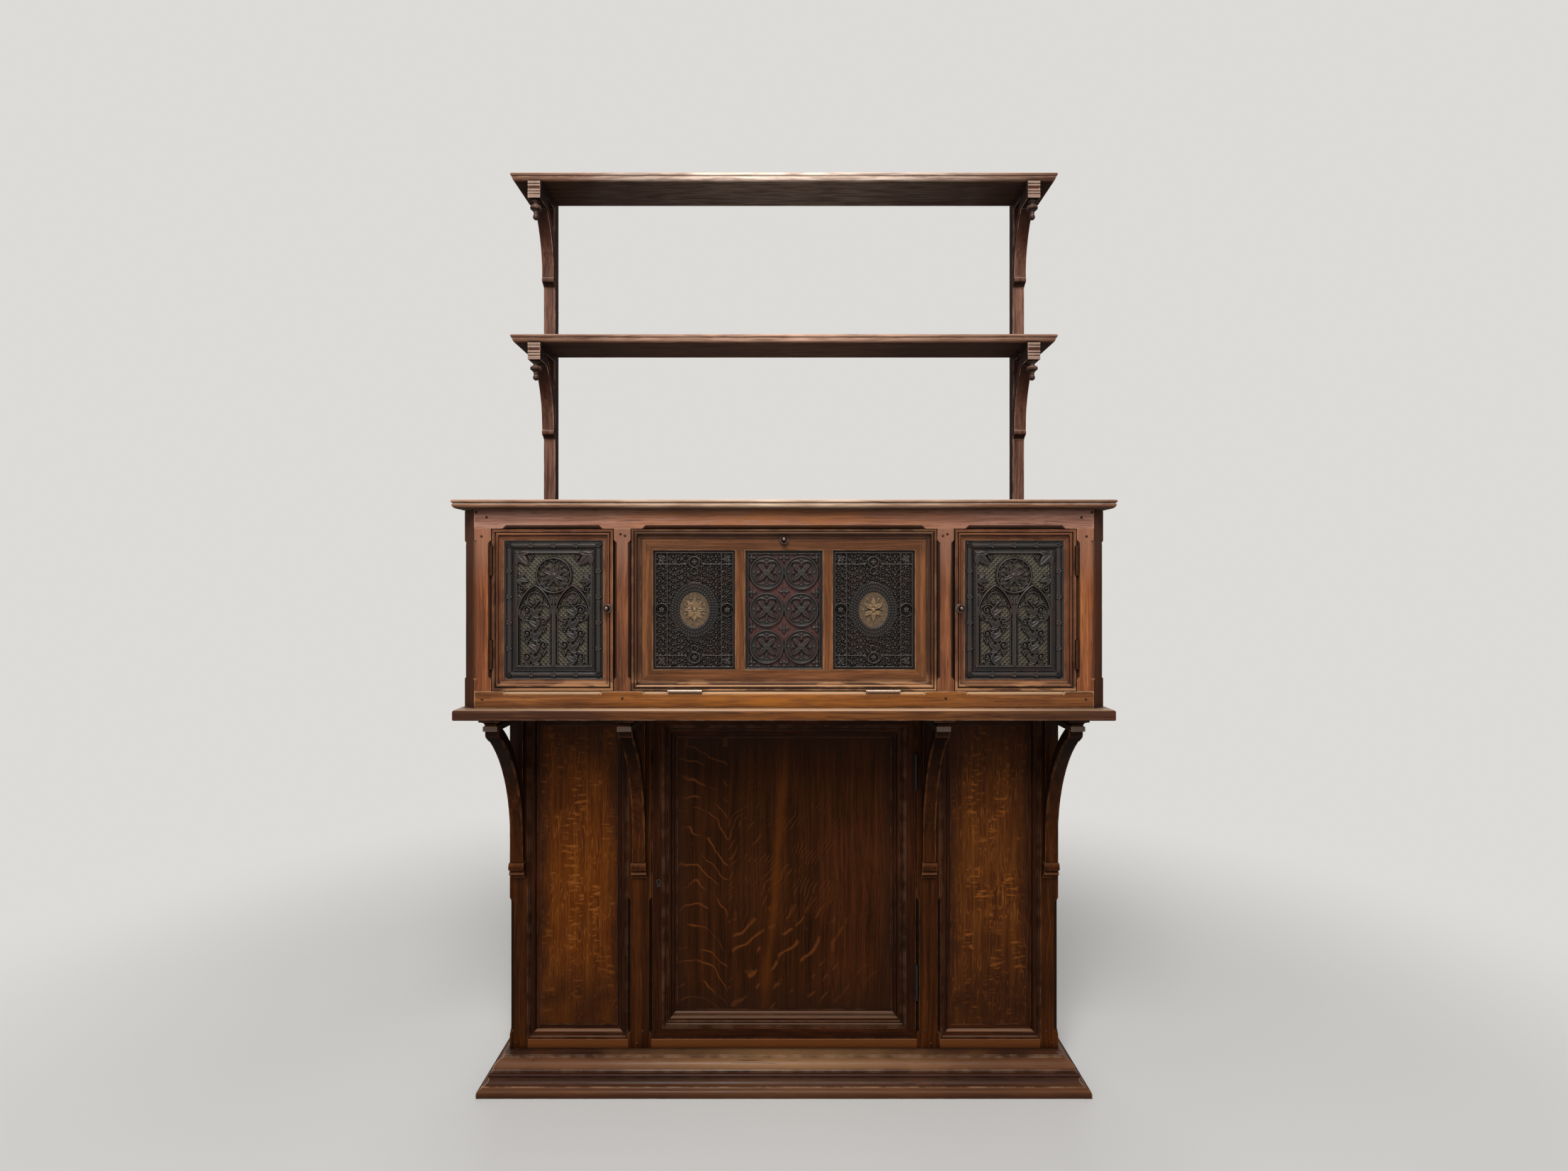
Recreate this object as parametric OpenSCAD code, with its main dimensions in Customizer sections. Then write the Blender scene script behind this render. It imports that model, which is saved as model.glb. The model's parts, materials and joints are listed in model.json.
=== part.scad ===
// Oak cabinet on a cupboard stand, with two open shelves above.
// Origin: middle of the footprint, on the floor. +X right, -Y front, +Z up.

/* [Plinth] */
// Height of the moulded plinth
plinth_h = 61; // [56:1:100]
// How far the plinth stands out in front of the posts
plinth_out = 61; // [50:1:90]
// How far the plinth stands out at each side
plinth_side = 44; // [40:1:80]
// How far the top fillet of the plinth stands back from its nosing
plinth_step = 39; // [30:0.5:40]
// Width of the plinth boards, front to back
plinth_board = 80; // [70:1:100]

/* [Stand] */
// How far the stand lies in from the cabinet at each side
stand_in = 43; // [30:0.5:90]
// Depth from the post fronts to the back
stand_d = 186; // [160:1:260]
// Height from the plinth to the ledge
stand_h = 672; // [560:1:800]
// Width of each outer post
outer_post_w = 35; // [30:0.5:45]
// Width of each inner post
inner_post_w = 46; // [36:0.5:56]
// Depth of all four posts
post_d = 35; // [30:0.5:50]
// Chamfer on the outer front edges of the outer posts
post_chamfer = 9; // [4:0.5:12]
// Chamfer on the front edges of the inner posts
inner_post_chamfer = 5; // [3:0.5:8]
// Height of the rail under the door
sill_h = 18.5; // [12:0.5:30]
// Height of the rail over the door
head_rail_h = 15; // [10:0.5:30]
// Depth of the rails, front to back
rail_d = 25; // [18:0.5:30]
// Width of the moulding round each fixed panel
bay_mould_w = 24; // [14:0.5:30]
// How far the fixed panels lie behind the posts
bay_recess = 12; // [8:0.5:14]
// Thickness of the fixed panels
bay_panel_t = 10; // [6:0.5:14]
// Thickness of the side boards
side_t = 18; // [12:0.5:24]
// Thickness of the back boards
back_t = 12; // [8:0.5:16]
// Thickness of the floor board
floor_t = 16; // [12:0.5:22]
// Height of the inner shelf above the floor board
inner_shelf_h = 375; // [372:1:440]
// Thickness of the inner shelf
inner_shelf_t = 14; // [10:0.5:20]

/* [Stand door] */
// Width of the lower door
low_door_w = 519; // [440:1:560]
// Thickness of the lower door
low_door_t = 28; // [26:0.5:32]
// Width of the flat stiles and rails
low_stile_w = 20; // [16:0.5:26]
// Width of the moulding inside the stiles
low_mould_w = 28; // [18:0.5:34]
// How far the door panel lies behind the stiles
low_recess = 20; // [14:0.5:22]
// Height of the keyhole above the floor
keyhole_z = 390; // [360:1:405]
// Throw of the lock bolt
bolt_throw = 8; // [5:0.5:10]

/* [Large brackets] */
// Width of each bracket, side to side
bracket_w = 25; // [20:0.5:30]
// How far each bracket reaches forward
bracket_reach = 163; // [150:1:164]
// Radius of the curved front
bracket_r = 268; // [240:1:290]
// Thickness of the curved strut
bracket_strut = 20; // [14:0.5:24]
// Height of the bracket, from its corbel to the ledge
bracket_h = 337; // [332:1:360]
// Width of the cap under the ledge
cap_w = 36.6; // [34:0.2:40]
// Height of the cap
cap_h = 20.5; // [19:0.5:21]
// Width of the corbel
corbel_w = 29; // [25:0.5:33]

/* [Ledge and top] */
// Thickness of the moulded ledge under the cabinet
ledge_t = 19; // [16:0.5:24]
// Radius of the ledge's upper edge
ledge_round = 4; // [3:0.5:7]
// How far the ledge stands out at each side
ledge_side = 3; // [1:0.5:8]
// Thickness of the top slab
slab_t = 16; // [16:0.5:22]
// How far the top slab stands out at each side
slab_side = 6; // [2:0.5:12]
// How far ledge and slab stand out in front
slab_front = 23; // [14:0.5:30]

/* [Cabinet] */
// Width of the cabinet
cab_w = 1166; // [1150:1:1240]
// Depth of the cabinet
cab_d = 330; // [300:1:380]
// Height of the cabinet, from ledge to slab
cab_h = 356; // [320:1:420]
// Canted corner, measured along the front and the side
cant = 28; // [20:0.5:34]
// Front face of each corner post
corner_post_w = 30; // [26:0.5:36]
// Width of the posts beside the middle flap
mullion_w = 30.5; // [26:0.5:38]
// Depth of the front frame
frame_d = 24; // [23:0.5:30]
// Height of the rail under the doors
cab_rail_low = 30; // [24:0.5:38]
// Height of the rail over the doors
cab_rail_top = 34; // [26:0.5:42]
// Chamfers on the front edges of the cabinet's posts
cab_chamfer = 5.5; // [4:0.25:7]
// Height of the chamfers along the rails, over and under the doors
rail_chamfer = 6.5; // [5:0.25:8]
// How far the chamfers of the rail under the doors go back, in front of the flap's hinges
low_chamfer_in = 3; // [2:0.25:3]
// Thickness of the two partitions
partition_t = 14; // [10:0.5:20]

/* [Cabinet doors] */
// Thickness of the doors and the flap
door_t = 22; // [18:0.5:23]
// Width of the moulded frame of the side doors
door_frame_w = 19; // [18:0.5:24]
// How far the carved panels lie behind the frames
carve_recess = 6; // [4:0.5:8]
// Thickness of the carved panels
carve_t = 10; // [8:0.5:12]
// Width of the middle flap
flap_w = 546; // [500:1:580]
// Width of the moulding round the flap
flap_mould_w = 18; // [14:0.5:24]
// Width of the flat frame inside the flap moulding
flap_flat_w = 19; // [14:0.5:24]
// Width of the middle panel of the flap
flap_mid_w = 140; // [120:1:160]
// Width of the two flap muntins
muntin_w = 18; // [12:0.5:24]

/* [Hardware] */
// Gap between a door and its frame
door_gap = 1.6; // [1.5:0.1:2.5]
// Radius of a hinge knuckle
knuckle_r = 3.2; // [2.8:0.1:3.6]
// Radius of a hinge pin
pin_r = 1.6; // [1.2:0.1:1.8]
// Running clearance of a pin in its knuckle
pin_play = 0.05; // [0.02:0.01:0.1]
// Length of the cabinet hinges
cab_hinge_l = 52; // [40:1:60]
// Length of the flap hinges
flap_hinge_l = 61; // [50:1:76]
// Length of the stand door hinges
low_hinge_l = 70; // [60:1:90]
// Width of a hinge leaf
leaf_w = 15; // [12:0.5:16]
// Thickness of a hinge leaf
leaf_t = 1.2; // [1:0.1:1.5]
// Radius of the rose behind a knob
rose_r = 8; // [7:0.5:9]
// Radius of the ball of a knob
knob_r = 5.4; // [4.5:0.1:6.5]
// Radius of the shank that holds a knob
shank_r = 2.4; // [2:0.1:3]

/* [Open shelves] */
// How far both shelves lie in from the cabinet at each side
shelf_in = 27; // [10:0.5:50]
// Depth of both shelves
shelf_d = 111; // [108:1:140]
// Thickness of both shelves
shelf_t = 18; // [17:0.5:24]
// Space between the slab and the lower shelf
shelf_gap_low = 341; // [260:1:420]
// Space between the two shelves
shelf_gap_top = 310; // [240:1:400]
// Distance from the end of a shelf to the middle of its upright
upright_in = 48.5; // [30:0.5:70]
// Width of each upright
upright_w = 25; // [20:0.5:30]
// Depth of each upright
upright_d = 26; // [20:0.5:34]
// Height of each shelf bracket
shelf_bracket_h = 177; // [172:1:200]
// Radius of the curved front of a shelf bracket
shelf_bracket_r = 162; // [150:1:170]
// Thickness of the curved strut of a shelf bracket
shelf_strut = 15; // [10:0.5:18]
// Height of the reeded block under each shelf
block_h = 34; // [30:0.5:40]
// Length of the reeded block, front to back
block_l = 49; // [46:0.5:56]
// Height of each turned pendant
pendant_h = 40; // [34:0.5:46]

/* [Hidden] */
$fn = 48;
// Clearance between pieces that move on different joints
clear = 0.3;
// Small overlap of a cutting shape past the face that it cuts
cut = 1;
// Larger than any piece, for cutting and for prisms
big = 3000;

back_y = (cab_d + slab_front) / 2;
cab_y = back_y - cab_d;
slab_y = cab_y - slab_front;
post_y = back_y - stand_d;
plinth_y = post_y - plinth_out;
upright_y = back_y - upright_d;
shelf_y = upright_y - shelf_d;

ledge_z = plinth_h + stand_h;
cab_z = ledge_z + ledge_t;
slab_z = cab_z + cab_h;
slab_top = slab_z + slab_t;
shelf_low_z = slab_top + shelf_gap_low;
shelf_top_z = shelf_low_z + shelf_t + shelf_gap_top;
total_h = shelf_top_z + shelf_t;

cab_hw = cab_w / 2;
stand_hw = cab_hw - stand_in;
plinth_hw = stand_hw + plinth_side;
shelf_hw = cab_hw - shelf_in;
upright_x = shelf_hw - upright_in;
low_door_z = plinth_h + sill_h + door_gap;
low_door_h = stand_h - sill_h - head_rail_h - 2 * door_gap;
low_open_x = low_door_w / 2 + door_gap;
inner_x = low_open_x + inner_post_w / 2;
outer_x = stand_hw - outer_post_w / 2;
bay_in = low_open_x + inner_post_w;
bay_w = stand_hw - outer_post_w - bay_in;
bay_x = bay_in + bay_w / 2;
bay_z = plinth_h + sill_h;
bay_h = stand_h - sill_h - head_rail_h;
side_inset = 2;

open_z = cab_z + cab_rail_low;
open_h = cab_h - cab_rail_low - cab_rail_top;
door_z = open_z + door_gap;
door_h = open_h - 2 * door_gap;
flap_open_x = flap_w / 2 + door_gap;
mullion_out = flap_open_x + mullion_w;
post_in = cab_hw - cant - corner_post_w;
door_w = post_in - mullion_out - 2 * door_gap;
door_x = (post_in + mullion_out) / 2;
partition_x = flap_open_x + mullion_w / 2;
flap_frame_w = flap_mould_w + flap_flat_w;
flap_mid_x = flap_mid_w / 2 + muntin_w;
flap_side_w = flap_w / 2 - flap_frame_w - flap_mid_x;

// Hinge axes stand a little proud of the door fronts
axis_out = 1.5;
cab_axis_y = cab_y - axis_out;
low_axis_y = post_y - axis_out;
door_axis_x = post_in - door_gap / 2;
low_axis_x = low_open_x - door_gap / 2;
flap_axis_z = open_z + door_gap / 2;
cab_hinge_in = 30;
low_hinge_in = 76;
flap_hinge_x = 147;

knob_z = door_z + door_h / 2 + 3;
knob_x = mullion_out + door_gap + door_frame_w / 2 - 0.5;
flap_knob_z = door_z + door_h - flap_mould_w;
shank_l = 12;

lock_w = 56;
lock_h = 46;
lock_t = 10;
keyhole_x = low_door_w / 2 - 13;
bolt_w = 34;
bolt_h = 14;
bolt_t = 5;

// Points of an arc about [x, z], from angle a to angle b, in n steps
function arc(x, z, r, a, b, n) =
    [for (i = [0:n]) [x + r * cos(a + (b - a) * i / n), z + r * sin(a + (b - a) * i / n)]];

// Angle at which a circle of radius r passes the height dz above its middle, on its -X side
function side_angle(r, dz) = 180 - asin(dz / r);

module box(x0, x1, y0, y1, z0, z1) {
    translate([x0, y0, z0])
        cube([x1 - x0, y1 - y0, z1 - z0]);
}

// A prism along X with its outline in the YZ plane
module prism_x(x0, x1, pts) {
    translate([x0, 0, 0])
        rotate([90, 0, 90])
            linear_extrude(height = x1 - x0)
                polygon(pts);
}

// A prism along Y with its outline in the XZ plane
module prism_y(y0, y1, pts) {
    translate([0, y1, 0])
        rotate([90, 0, 0])
            linear_extrude(height = y1 - y0)
                polygon(pts);
}

// A board with one edge profile round its front and ends, and canted front corners.
// The profile lists [inset, height] from the bottom up.
module moulded_board(hw, yf, yb, z, c, pts) {
    reach = (hw - yf - c) / sqrt(2);
    translate([0, 0, z])
        intersection() {
            prism_x(-hw, hw, concat([for (p = pts) [yf + p[0], p[1]]],
                [[yb, pts[len(pts) - 1][1]], [yb, pts[0][1]]]));
            prism_y(yf - cut, yb + cut, concat([for (p = pts) [hw - p[0], p[1]]],
                [for (i = [len(pts) - 1:-1:0]) [pts[i][0] - hw, pts[i][1]]]));
            if (c > 0)
                for (a = [-45, -135])
                    rotate([0, 0, a])
                        prism_y(-big, big, concat([for (p = pts) [reach - p[0], p[1]]],
                            [[-big, pts[len(pts) - 1][1]], [-big, pts[0][1]]]));
        }
}

// A mitred frame about the Y axis: w by h outside, its profile as [inward, backward]
module mitred_ring(w, h, pts) {
    deep = max([for (p = pts) p[0]]);
    for (side = [0:3]) {
        half = side % 2 == 0 ? w / 2 : h / 2;
        off = side % 2 == 0 ? h / 2 : w / 2;
        rotate([0, side * 90, 0])
            intersection() {
                prism_x(-half, half, [for (p = pts) [p[1], p[0] - off]]);
                prism_y(-big, big, [[-half, -off], [half, -off],
                    [half - deep, deep - off], [deep - half, deep - off]]);
            }
    }
}

// Cuts a chamfer with sloped stops into a vertical edge at the origin.
// The wood lies towards +X and +Y.
// It takes across from the face along X and deep from the face along Y.
module stop_chamfer(length, across, deep) {
    turn = atan2(across, deep);
    d = across * cos(turn);
    reach = across + deep;
    stop = 1.4 * d;
    rotate([0, 0, turn])
        prism_y(-reach, reach, [[-reach, -cut], [0, 0], [d, stop], [d, length - stop],
            [0, length], [-reach, length + cut]]);
}

module both_sides() {
    children();
    mirror([1, 0, 0])
        children();
}

// Plinth

crown_r = 14;
bead_r = 3;
cove_r = 10;
nose_r = 7;
plinth_profile = concat(
    [[0, 0]],
    arc(nose_r, plinth_h - 53, nose_r, 180, 100, 5),
    [[plinth_step - 31, plinth_h - 44]],
    arc(plinth_step - 31, plinth_h - 33, cove_r, -90, 0, 5),
    [[plinth_step - 21, plinth_h - 31]],
    arc(plinth_step - 20, plinth_h - 27.5, bead_r, 270, 90, 6),
    [[plinth_step - 17, plinth_h - 24], [plinth_step - 17, plinth_h - 21]],
    arc(plinth_step - 1, plinth_h - 5 - crown_r, crown_r, 180, 90, 6),
    [[plinth_step - 1, plinth_h - 3], [plinth_step, plinth_h - 3], [plinth_step, plinth_h]]);

module plinth_body() {
    moulded_board(plinth_hw, plinth_y, back_y, 0, 0, plinth_profile);
}

module plinth_front() {
    t = plinth_board;
    color("#5a3018")
        intersection() {
            plinth_body();
            linear_extrude(height = plinth_h)
                polygon([[-plinth_hw, plinth_y], [plinth_hw, plinth_y],
                    [plinth_hw - t, plinth_y + t], [t - plinth_hw, plinth_y + t]]);
        }
}

module plinth_returns() {
    t = plinth_board;
    color("#5a3018")
        intersection() {
            plinth_body();
            both_sides()
                linear_extrude(height = plinth_h)
                    polygon([[plinth_hw, plinth_y], [plinth_hw, back_y],
                        [plinth_hw - t, back_y], [plinth_hw - t, plinth_y + t]]);
        }
}

plinth_back_t = 22;
module plinth_back() {
    color("#4a2814")
        box(plinth_board - plinth_hw, plinth_hw - plinth_board, back_y - plinth_back_t, back_y,
            0, plinth_h - floor_t);
}

module floor_board() {
    color("#4a2814")
        box(plinth_board - plinth_hw, plinth_hw - plinth_board, plinth_y + plinth_board, back_y,
            plinth_h - floor_t, plinth_h);
}

// Stand

module outer_post() {
    color("#54301c")
        difference() {
            box(outer_x - outer_post_w / 2, outer_x + outer_post_w / 2, post_y, post_y + post_d,
                plinth_h, ledge_z);
            translate([stand_hw, post_y, plinth_h + 28])
                mirror([1, 0, 0])
                    stop_chamfer(stand_h - bracket_h - 66, post_chamfer, post_chamfer);
        }
}

module inner_post() {
    color("#54301c")
        difference() {
            box(low_open_x, bay_in, post_y, post_y + post_d, plinth_h, ledge_z);
            for (flip = [0, 1])
                translate([inner_x, 0, 0])
                    mirror([flip, 0, 0])
                        translate([-inner_post_w / 2, post_y, plinth_h + 28])
                            stop_chamfer(stand_h - bracket_h - 66, inner_post_chamfer,
                                inner_post_chamfer);
        }
}

module inner_post_left() {
    // The lock bolt shoots into a slot behind this post's front
    difference() {
        mirror([1, 0, 0])
            inner_post();
        box(-low_open_x - bolt_throw - clear, cut - low_open_x, post_y + low_door_t,
            post_y + post_d + cut, keyhole_z - bolt_h / 2 - clear, keyhole_z + bolt_h / 2 + clear);
    }
}

module inner_post_right() {
    difference() {
        inner_post();
        low_hinge_places()
            hinge_seat(low_hinge_l);
    }
}

module stand_rails() {
    color("#4e2a16") {
        for (z = [[plinth_h, plinth_h + sill_h], [ledge_z - head_rail_h, ledge_z]]) {
            box(-low_open_x, low_open_x, post_y, post_y + rail_d, z[0], z[1]);
            both_sides()
                box(bay_in, bay_in + bay_w, post_y, post_y + rail_d, z[0], z[1]);
        }
    }
}

bay_profile = concat(
    [[0, 0], [4, 0]],
    arc(5.5, 2, 2, 225, 45, 4),
    [[10, bay_recess - 8]],
    arc(10, bay_recess - 2, 6, -90, 0, 4),
    [[bay_mould_w - 6, bay_recess - 2], [bay_mould_w, bay_recess - 1], [bay_mould_w, bay_recess],
        [0, bay_recess]]);

module bay_mouldings() {
    color("#5a3420")
        both_sides()
            translate([bay_x, post_y, bay_z + bay_h / 2])
                mitred_ring(bay_w, bay_h, bay_profile);
}

module bay_panel() {
    color("#8a5a24")
        box(bay_in, bay_in + bay_w, post_y + bay_recess, post_y + bay_recess + bay_panel_t,
            bay_z, bay_z + bay_h);
}

module stand_side() {
    color("#4a2814")
        box(stand_hw - side_inset - side_t, stand_hw - side_inset, post_y + post_d, back_y,
            plinth_h, ledge_z);
}

module stand_back() {
    w = stand_hw - side_inset - side_t;
    color("#40210f")
        box(-w, w, back_y - back_t, back_y, plinth_h, ledge_z);
}

module inner_shelf() {
    w = stand_hw - side_inset - side_t;
    color("#4a2814")
        box(-w, w, post_y + post_d + 8, back_y - back_t,
            plinth_h + inner_shelf_h, plinth_h + inner_shelf_h + inner_shelf_t);
}

// Large brackets: the outline is [reach, height], with the height up from the bracket's foot
foot_reach = 14;
corbel_h = 34;
arc_mid = [foot_reach + bracket_r, bracket_h - 263];
arc_end = bracket_h - 33;
cap_d = 40;
cap_back = bracket_reach - cap_d;
strut_front = bracket_reach - 17;
module bracket_outline() {
    a = side_angle(bracket_r, arc_end - arc_mid[1]);
    cap_foot = bracket_h - cap_h + 1;
    difference() {
        polygon(concat(
            [[0, corbel_h], [foot_reach - 2, corbel_h]],
            arc(arc_mid[0], arc_mid[1], bracket_r, 180, a, 24),
            [[strut_front, arc_end + 6], [strut_front, cap_foot], [cap_back + 1, cap_foot],
                [cap_back + 1, bracket_h], [0, bracket_h]]));
        bracket_hole();
    }
}

hole_top = bracket_h - cap_h - 0.5;
hole_back = 14;
inner_r = bracket_r + bracket_strut;
module bracket_hole() {
    top = side_angle(inner_r, hole_top - arc_mid[1]);
    low = side_angle(inner_r, sqrt(pow(inner_r, 2) - pow(arc_mid[0] - hole_back, 2)));
    polygon(concat([[hole_back, hole_top]], arc(arc_mid[0], arc_mid[1], inner_r, top, low, 16)));
}

// The cap's moulding: [how far it stands out past the strut, height over the cap's foot]
cap_out = (cap_w - bracket_w) / 2;
cap_steps = [[0, 0], [0, cap_h - 12], [-2.5, cap_h - 11], [-2.5, cap_h - 9.5], [-1.8, cap_h - 7.3],
    [0, cap_h - 5.3], [cap_out - 3, cap_h - 4.1], [cap_out - 0.5, cap_h - 3.5],
    [cap_out, cap_h - 3], [cap_out, cap_h]];
module bracket_cap() {
    n = len(cap_steps);
    intersection() {
        prism_y(-bracket_reach, -cap_back, concat(
            [for (p = cap_steps) [bracket_w / 2 + p[0], p[1]]],
            [for (i = [n - 1:-1:0]) [-bracket_w / 2 - cap_steps[i][0], cap_steps[i][1]]]));
        prism_x(-cap_w / 2 - cut, cap_w / 2 + cut, concat(
            [for (p = cap_steps) [cap_out - bracket_reach - p[0], p[1]]],
            [[cut - cap_back, cap_h], [cut - cap_back, 0]]));
    }
}

module bracket() {
    color("#4c2816")
        translate([0, post_y, ledge_z - bracket_h])
            difference() {
                union() {
                    // Curved strut with its back strip and top rail
                    translate([-bracket_w / 2, 0, 0])
                        rotate([90, 0, 90])
                            linear_extrude(height = bracket_w)
                                mirror([1, 0])
                                    bracket_outline();
                    translate([0, 0, bracket_h - cap_h])
                        bracket_cap();
                    // Stepped corbel
                    prism_x(-corbel_w / 2, corbel_w / 2, [
                        [0, 0], [-6, 3], [-6, 9], [-12, 10], [-14, 12], [-12, 15], [-10, 16],
                        [-10, 19], [-17, 21], [-18, 26], [-17, 30], [-15, corbel_h], [0, corbel_h]]);
                }
                for (s = [-1, 1])
                    bracket_chamfer(s);
            }
}

// The front arrises of the strut are cut back between the corbel and the cap
module bracket_chamfer(s) {
    size = 4;
    rings = 10;
    a = side_angle(bracket_r, arc_end - arc_mid[1]);
    translate([s * bracket_w / 2, -arc_mid[0], arc_mid[1]])
        rotate([90, 0, 90])
            linear_extrude(height = size, center = true)
                difference() {
                    polygon(concat([[0, 0]], arc(0, 0, bracket_r + size / 2, 4, 176 - a, rings)));
                    circle(r = bracket_r - size);
                }
}

// Lower door

low_mould_profile = concat(
    [[0, 0], [3, 0], [3, 3]],
    arc(7, 5, 3, 215, 45, 5),
    [[10, 9], [12, 9]],
    arc(12, 15, 6, -90, 0, 5),
    [[low_mould_w - 7, low_recess - 4], [low_mould_w - 4, low_recess - 1.5],
        [low_mould_w, low_recess - 1.5], [low_mould_w, low_recess], [0, low_recess]]);

module low_door_place() {
    translate([0, post_y, low_door_z + low_door_h / 2])
        children();
}

module low_hinge_places() {
    for (z = [low_door_z + low_hinge_in, low_door_z + low_door_h - low_hinge_in - low_hinge_l])
        translate([low_axis_x, low_axis_y, z])
            mirror([1, 0, 0])
                children();
}

module low_door_frame() {
    color("#4e2a18")
        difference() {
            low_door_place()
                mitred_ring(low_door_w, low_door_h,
                    [[0, 0], [low_stile_w, 0], [low_stile_w, low_door_t], [0, low_door_t]]);
            low_hinge_places()
                hinge_seat(low_hinge_l);
            translate([-keyhole_x, post_y - cut, keyhole_z])
                rotate([-90, 0, 0])
                    cylinder(h = low_door_t + 2 * cut, r = 2.2);
        }
}

module low_door_moulding() {
    color("#4a2716")
        low_door_place()
            mitred_ring(low_door_w - 2 * low_stile_w, low_door_h - 2 * low_stile_w,
                low_mould_profile);
}

module low_door_panel() {
    w = low_door_w / 2 - low_stile_w;
    color("#5c3318")
        box(-w, w, post_y + low_recess, post_y + low_door_t,
            low_door_z + low_stile_w, low_door_z + low_door_h - low_stile_w);
}

module low_door_escutcheon() {
    color("#6b5a38")
        translate([-keyhole_x, post_y, keyhole_z])
            rotate([90, 0, 0])
                difference() {
                    union() {
                        cylinder(h = 1, r = 4.6);
                        translate([-3.4, -11, 0])
                            cube([6.8, 11, 1]);
                    }
                    translate([0, 0, -cut])
                        cylinder(h = 1 + 2 * cut, r = 2);
                    translate([-0.9, -8, -cut])
                        cube([1.8, 8, 1 + 2 * cut]);
                }
}

lock_x = -low_door_w / 2 + 1;
module low_door_lock() {
    y0 = post_y + low_door_t;
    color("#4a4640")
        difference() {
            box(lock_x, lock_x + lock_w, y0, y0 + lock_t, keyhole_z - lock_h / 2, keyhole_z + lock_h / 2);
            // Channel for the bolt, open at the door's edge
            box(lock_x - cut, lock_x + bolt_w + bolt_throw, y0 + 1.5 - clear, y0 + 1.5 + bolt_t + clear,
                keyhole_z - bolt_h / 2 - clear, keyhole_z + bolt_h / 2 + clear);
        }
}

module lock_bolt() {
    y0 = post_y + low_door_t + 1.5;
    color("#8a7a4a")
        box(lock_x + 0.5, lock_x + 0.5 + bolt_w, y0, y0 + bolt_t,
            keyhole_z - bolt_h / 2, keyhole_z + bolt_h / 2);
}

// Butt hinges: the axis is the Z axis, the door lies towards +X and its back towards +Y

// Space that a hinge takes out of the wood on both sides
module hinge_seat(length) {
    translate([0, 0, -clear])
        cylinder(h = length + 2 * clear, r = knuckle_r + clear);
    box(-door_gap / 2 - leaf_t + clear, door_gap / 2 + leaf_t - clear, 0, knuckle_r + clear + leaf_w,
        0, length);
}

module hinge_leaf(length) {
    box(door_gap / 2 - clear, door_gap / 2 - clear + leaf_t, knuckle_r + clear,
        knuckle_r + clear + leaf_w, 0, length);
}

module hinge_tab(z0, z1) {
    difference() {
        union() {
            translate([0, 0, z0])
                cylinder(h = z1 - z0, r = knuckle_r);
            box(door_gap / 2 - clear, door_gap / 2 - clear + leaf_t, 0, knuckle_r + clear + cut, z0, z1);
        }
        translate([0, 0, z0 - cut])
            cylinder(h = z1 - z0 + 2 * cut, r = pin_r + pin_play);
    }
}

// The half on the door: one middle knuckle
module hinge_moving(length) {
    hinge_leaf(length);
    hinge_tab(length / 3 + clear / 2, length * 2 / 3 - clear / 2);
}

// The half on the frame: two end knuckles and the pin
module hinge_fixed(length) {
    mirror([1, 0, 0])
        hinge_leaf(length);
    mirror([1, 0, 0])
        for (z = [[0, length / 3 - clear / 2], [length * 2 / 3 + clear / 2, length]]) {
            hinge_tab(z[0], z[1]);
            translate([0, 0, z[0]])
                cylinder(h = z[1] - z[0], r = pin_r + pin_play);
        }
    cylinder(h = length, r = pin_r);
}

module low_hinge_door() {
    color("#6e6a60")
        low_hinge_places()
            hinge_moving(low_hinge_l);
}

module low_hinge_post() {
    color("#6e6a60")
        low_hinge_places()
            hinge_fixed(low_hinge_l);
}

// Ledge and top slab

ledge_profile = concat([[1.5, 0], [0, 1.5]],
    arc(ledge_round, ledge_t - ledge_round, ledge_round, 180, 90, 6));
module ledge() {
    color("#6a3d20")
        moulded_board(cab_hw + ledge_side, slab_y, back_y, ledge_z, cant + 2, ledge_profile);
}

slab_profile = concat(arc(9, slab_t - 8, 8, 270, 180, 6), [[2.5, slab_t - 7]],
    arc(3, slab_t - 3, 3, 270, 90, 6));
module top_slab() {
    color("#7a4a2a")
        moulded_board(cab_hw + slab_side, slab_y, back_y, slab_z, cant + 2, slab_profile);
}

// Cabinet frame

// The rails run over the posts to the cant, and the posts are cut back to hold them
rail_hw = cab_hw - cant;
// Length of the square block that a chamfer leaves at each end of a post
post_stop = 20;
post_chamfer_l = open_h - 2 * post_stop;
// What a chamfer takes from a canted arris, seen square to one of its faces
cant_in = cab_chamfer * tan(22.5);
module corner_post() {
    color("#5e3420")
        difference() {
            linear_extrude(height = cab_h)
                polygon([[post_in, cab_y], [rail_hw, cab_y], [cab_hw, cab_y + cant],
                    [cab_hw, cab_y + 2 * cant], [post_in, cab_y + 2 * cant]]);
            for (z = [[-cut, cab_rail_low], [cab_h - cab_rail_top, cab_h + cut]])
                box(post_in - cut, rail_hw, cab_y - cut, cab_y + frame_d, z[0], z[1]);
            // Stopped chamfers on the inner edge and on both arrises of the cant
            translate([post_in, cab_y, cab_rail_low + post_stop])
                stop_chamfer(post_chamfer_l, cab_chamfer, cab_chamfer);
            translate([rail_hw, cab_y, cab_rail_low + post_stop])
                mirror([1, 0, 0])
                    stop_chamfer(post_chamfer_l, cab_chamfer, cant_in);
            translate([cab_hw, cab_y + cant, cab_rail_low + post_stop])
                mirror([1, 0, 0])
                    stop_chamfer(post_chamfer_l, cant_in, cab_chamfer);
        }
}

module corner_post_left() {
    difference() {
        translate([0, 0, cab_z])
            mirror([1, 0, 0])
                corner_post();
        door_hinge_places()
            hinge_seat(cab_hinge_l);
    }
}

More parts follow.
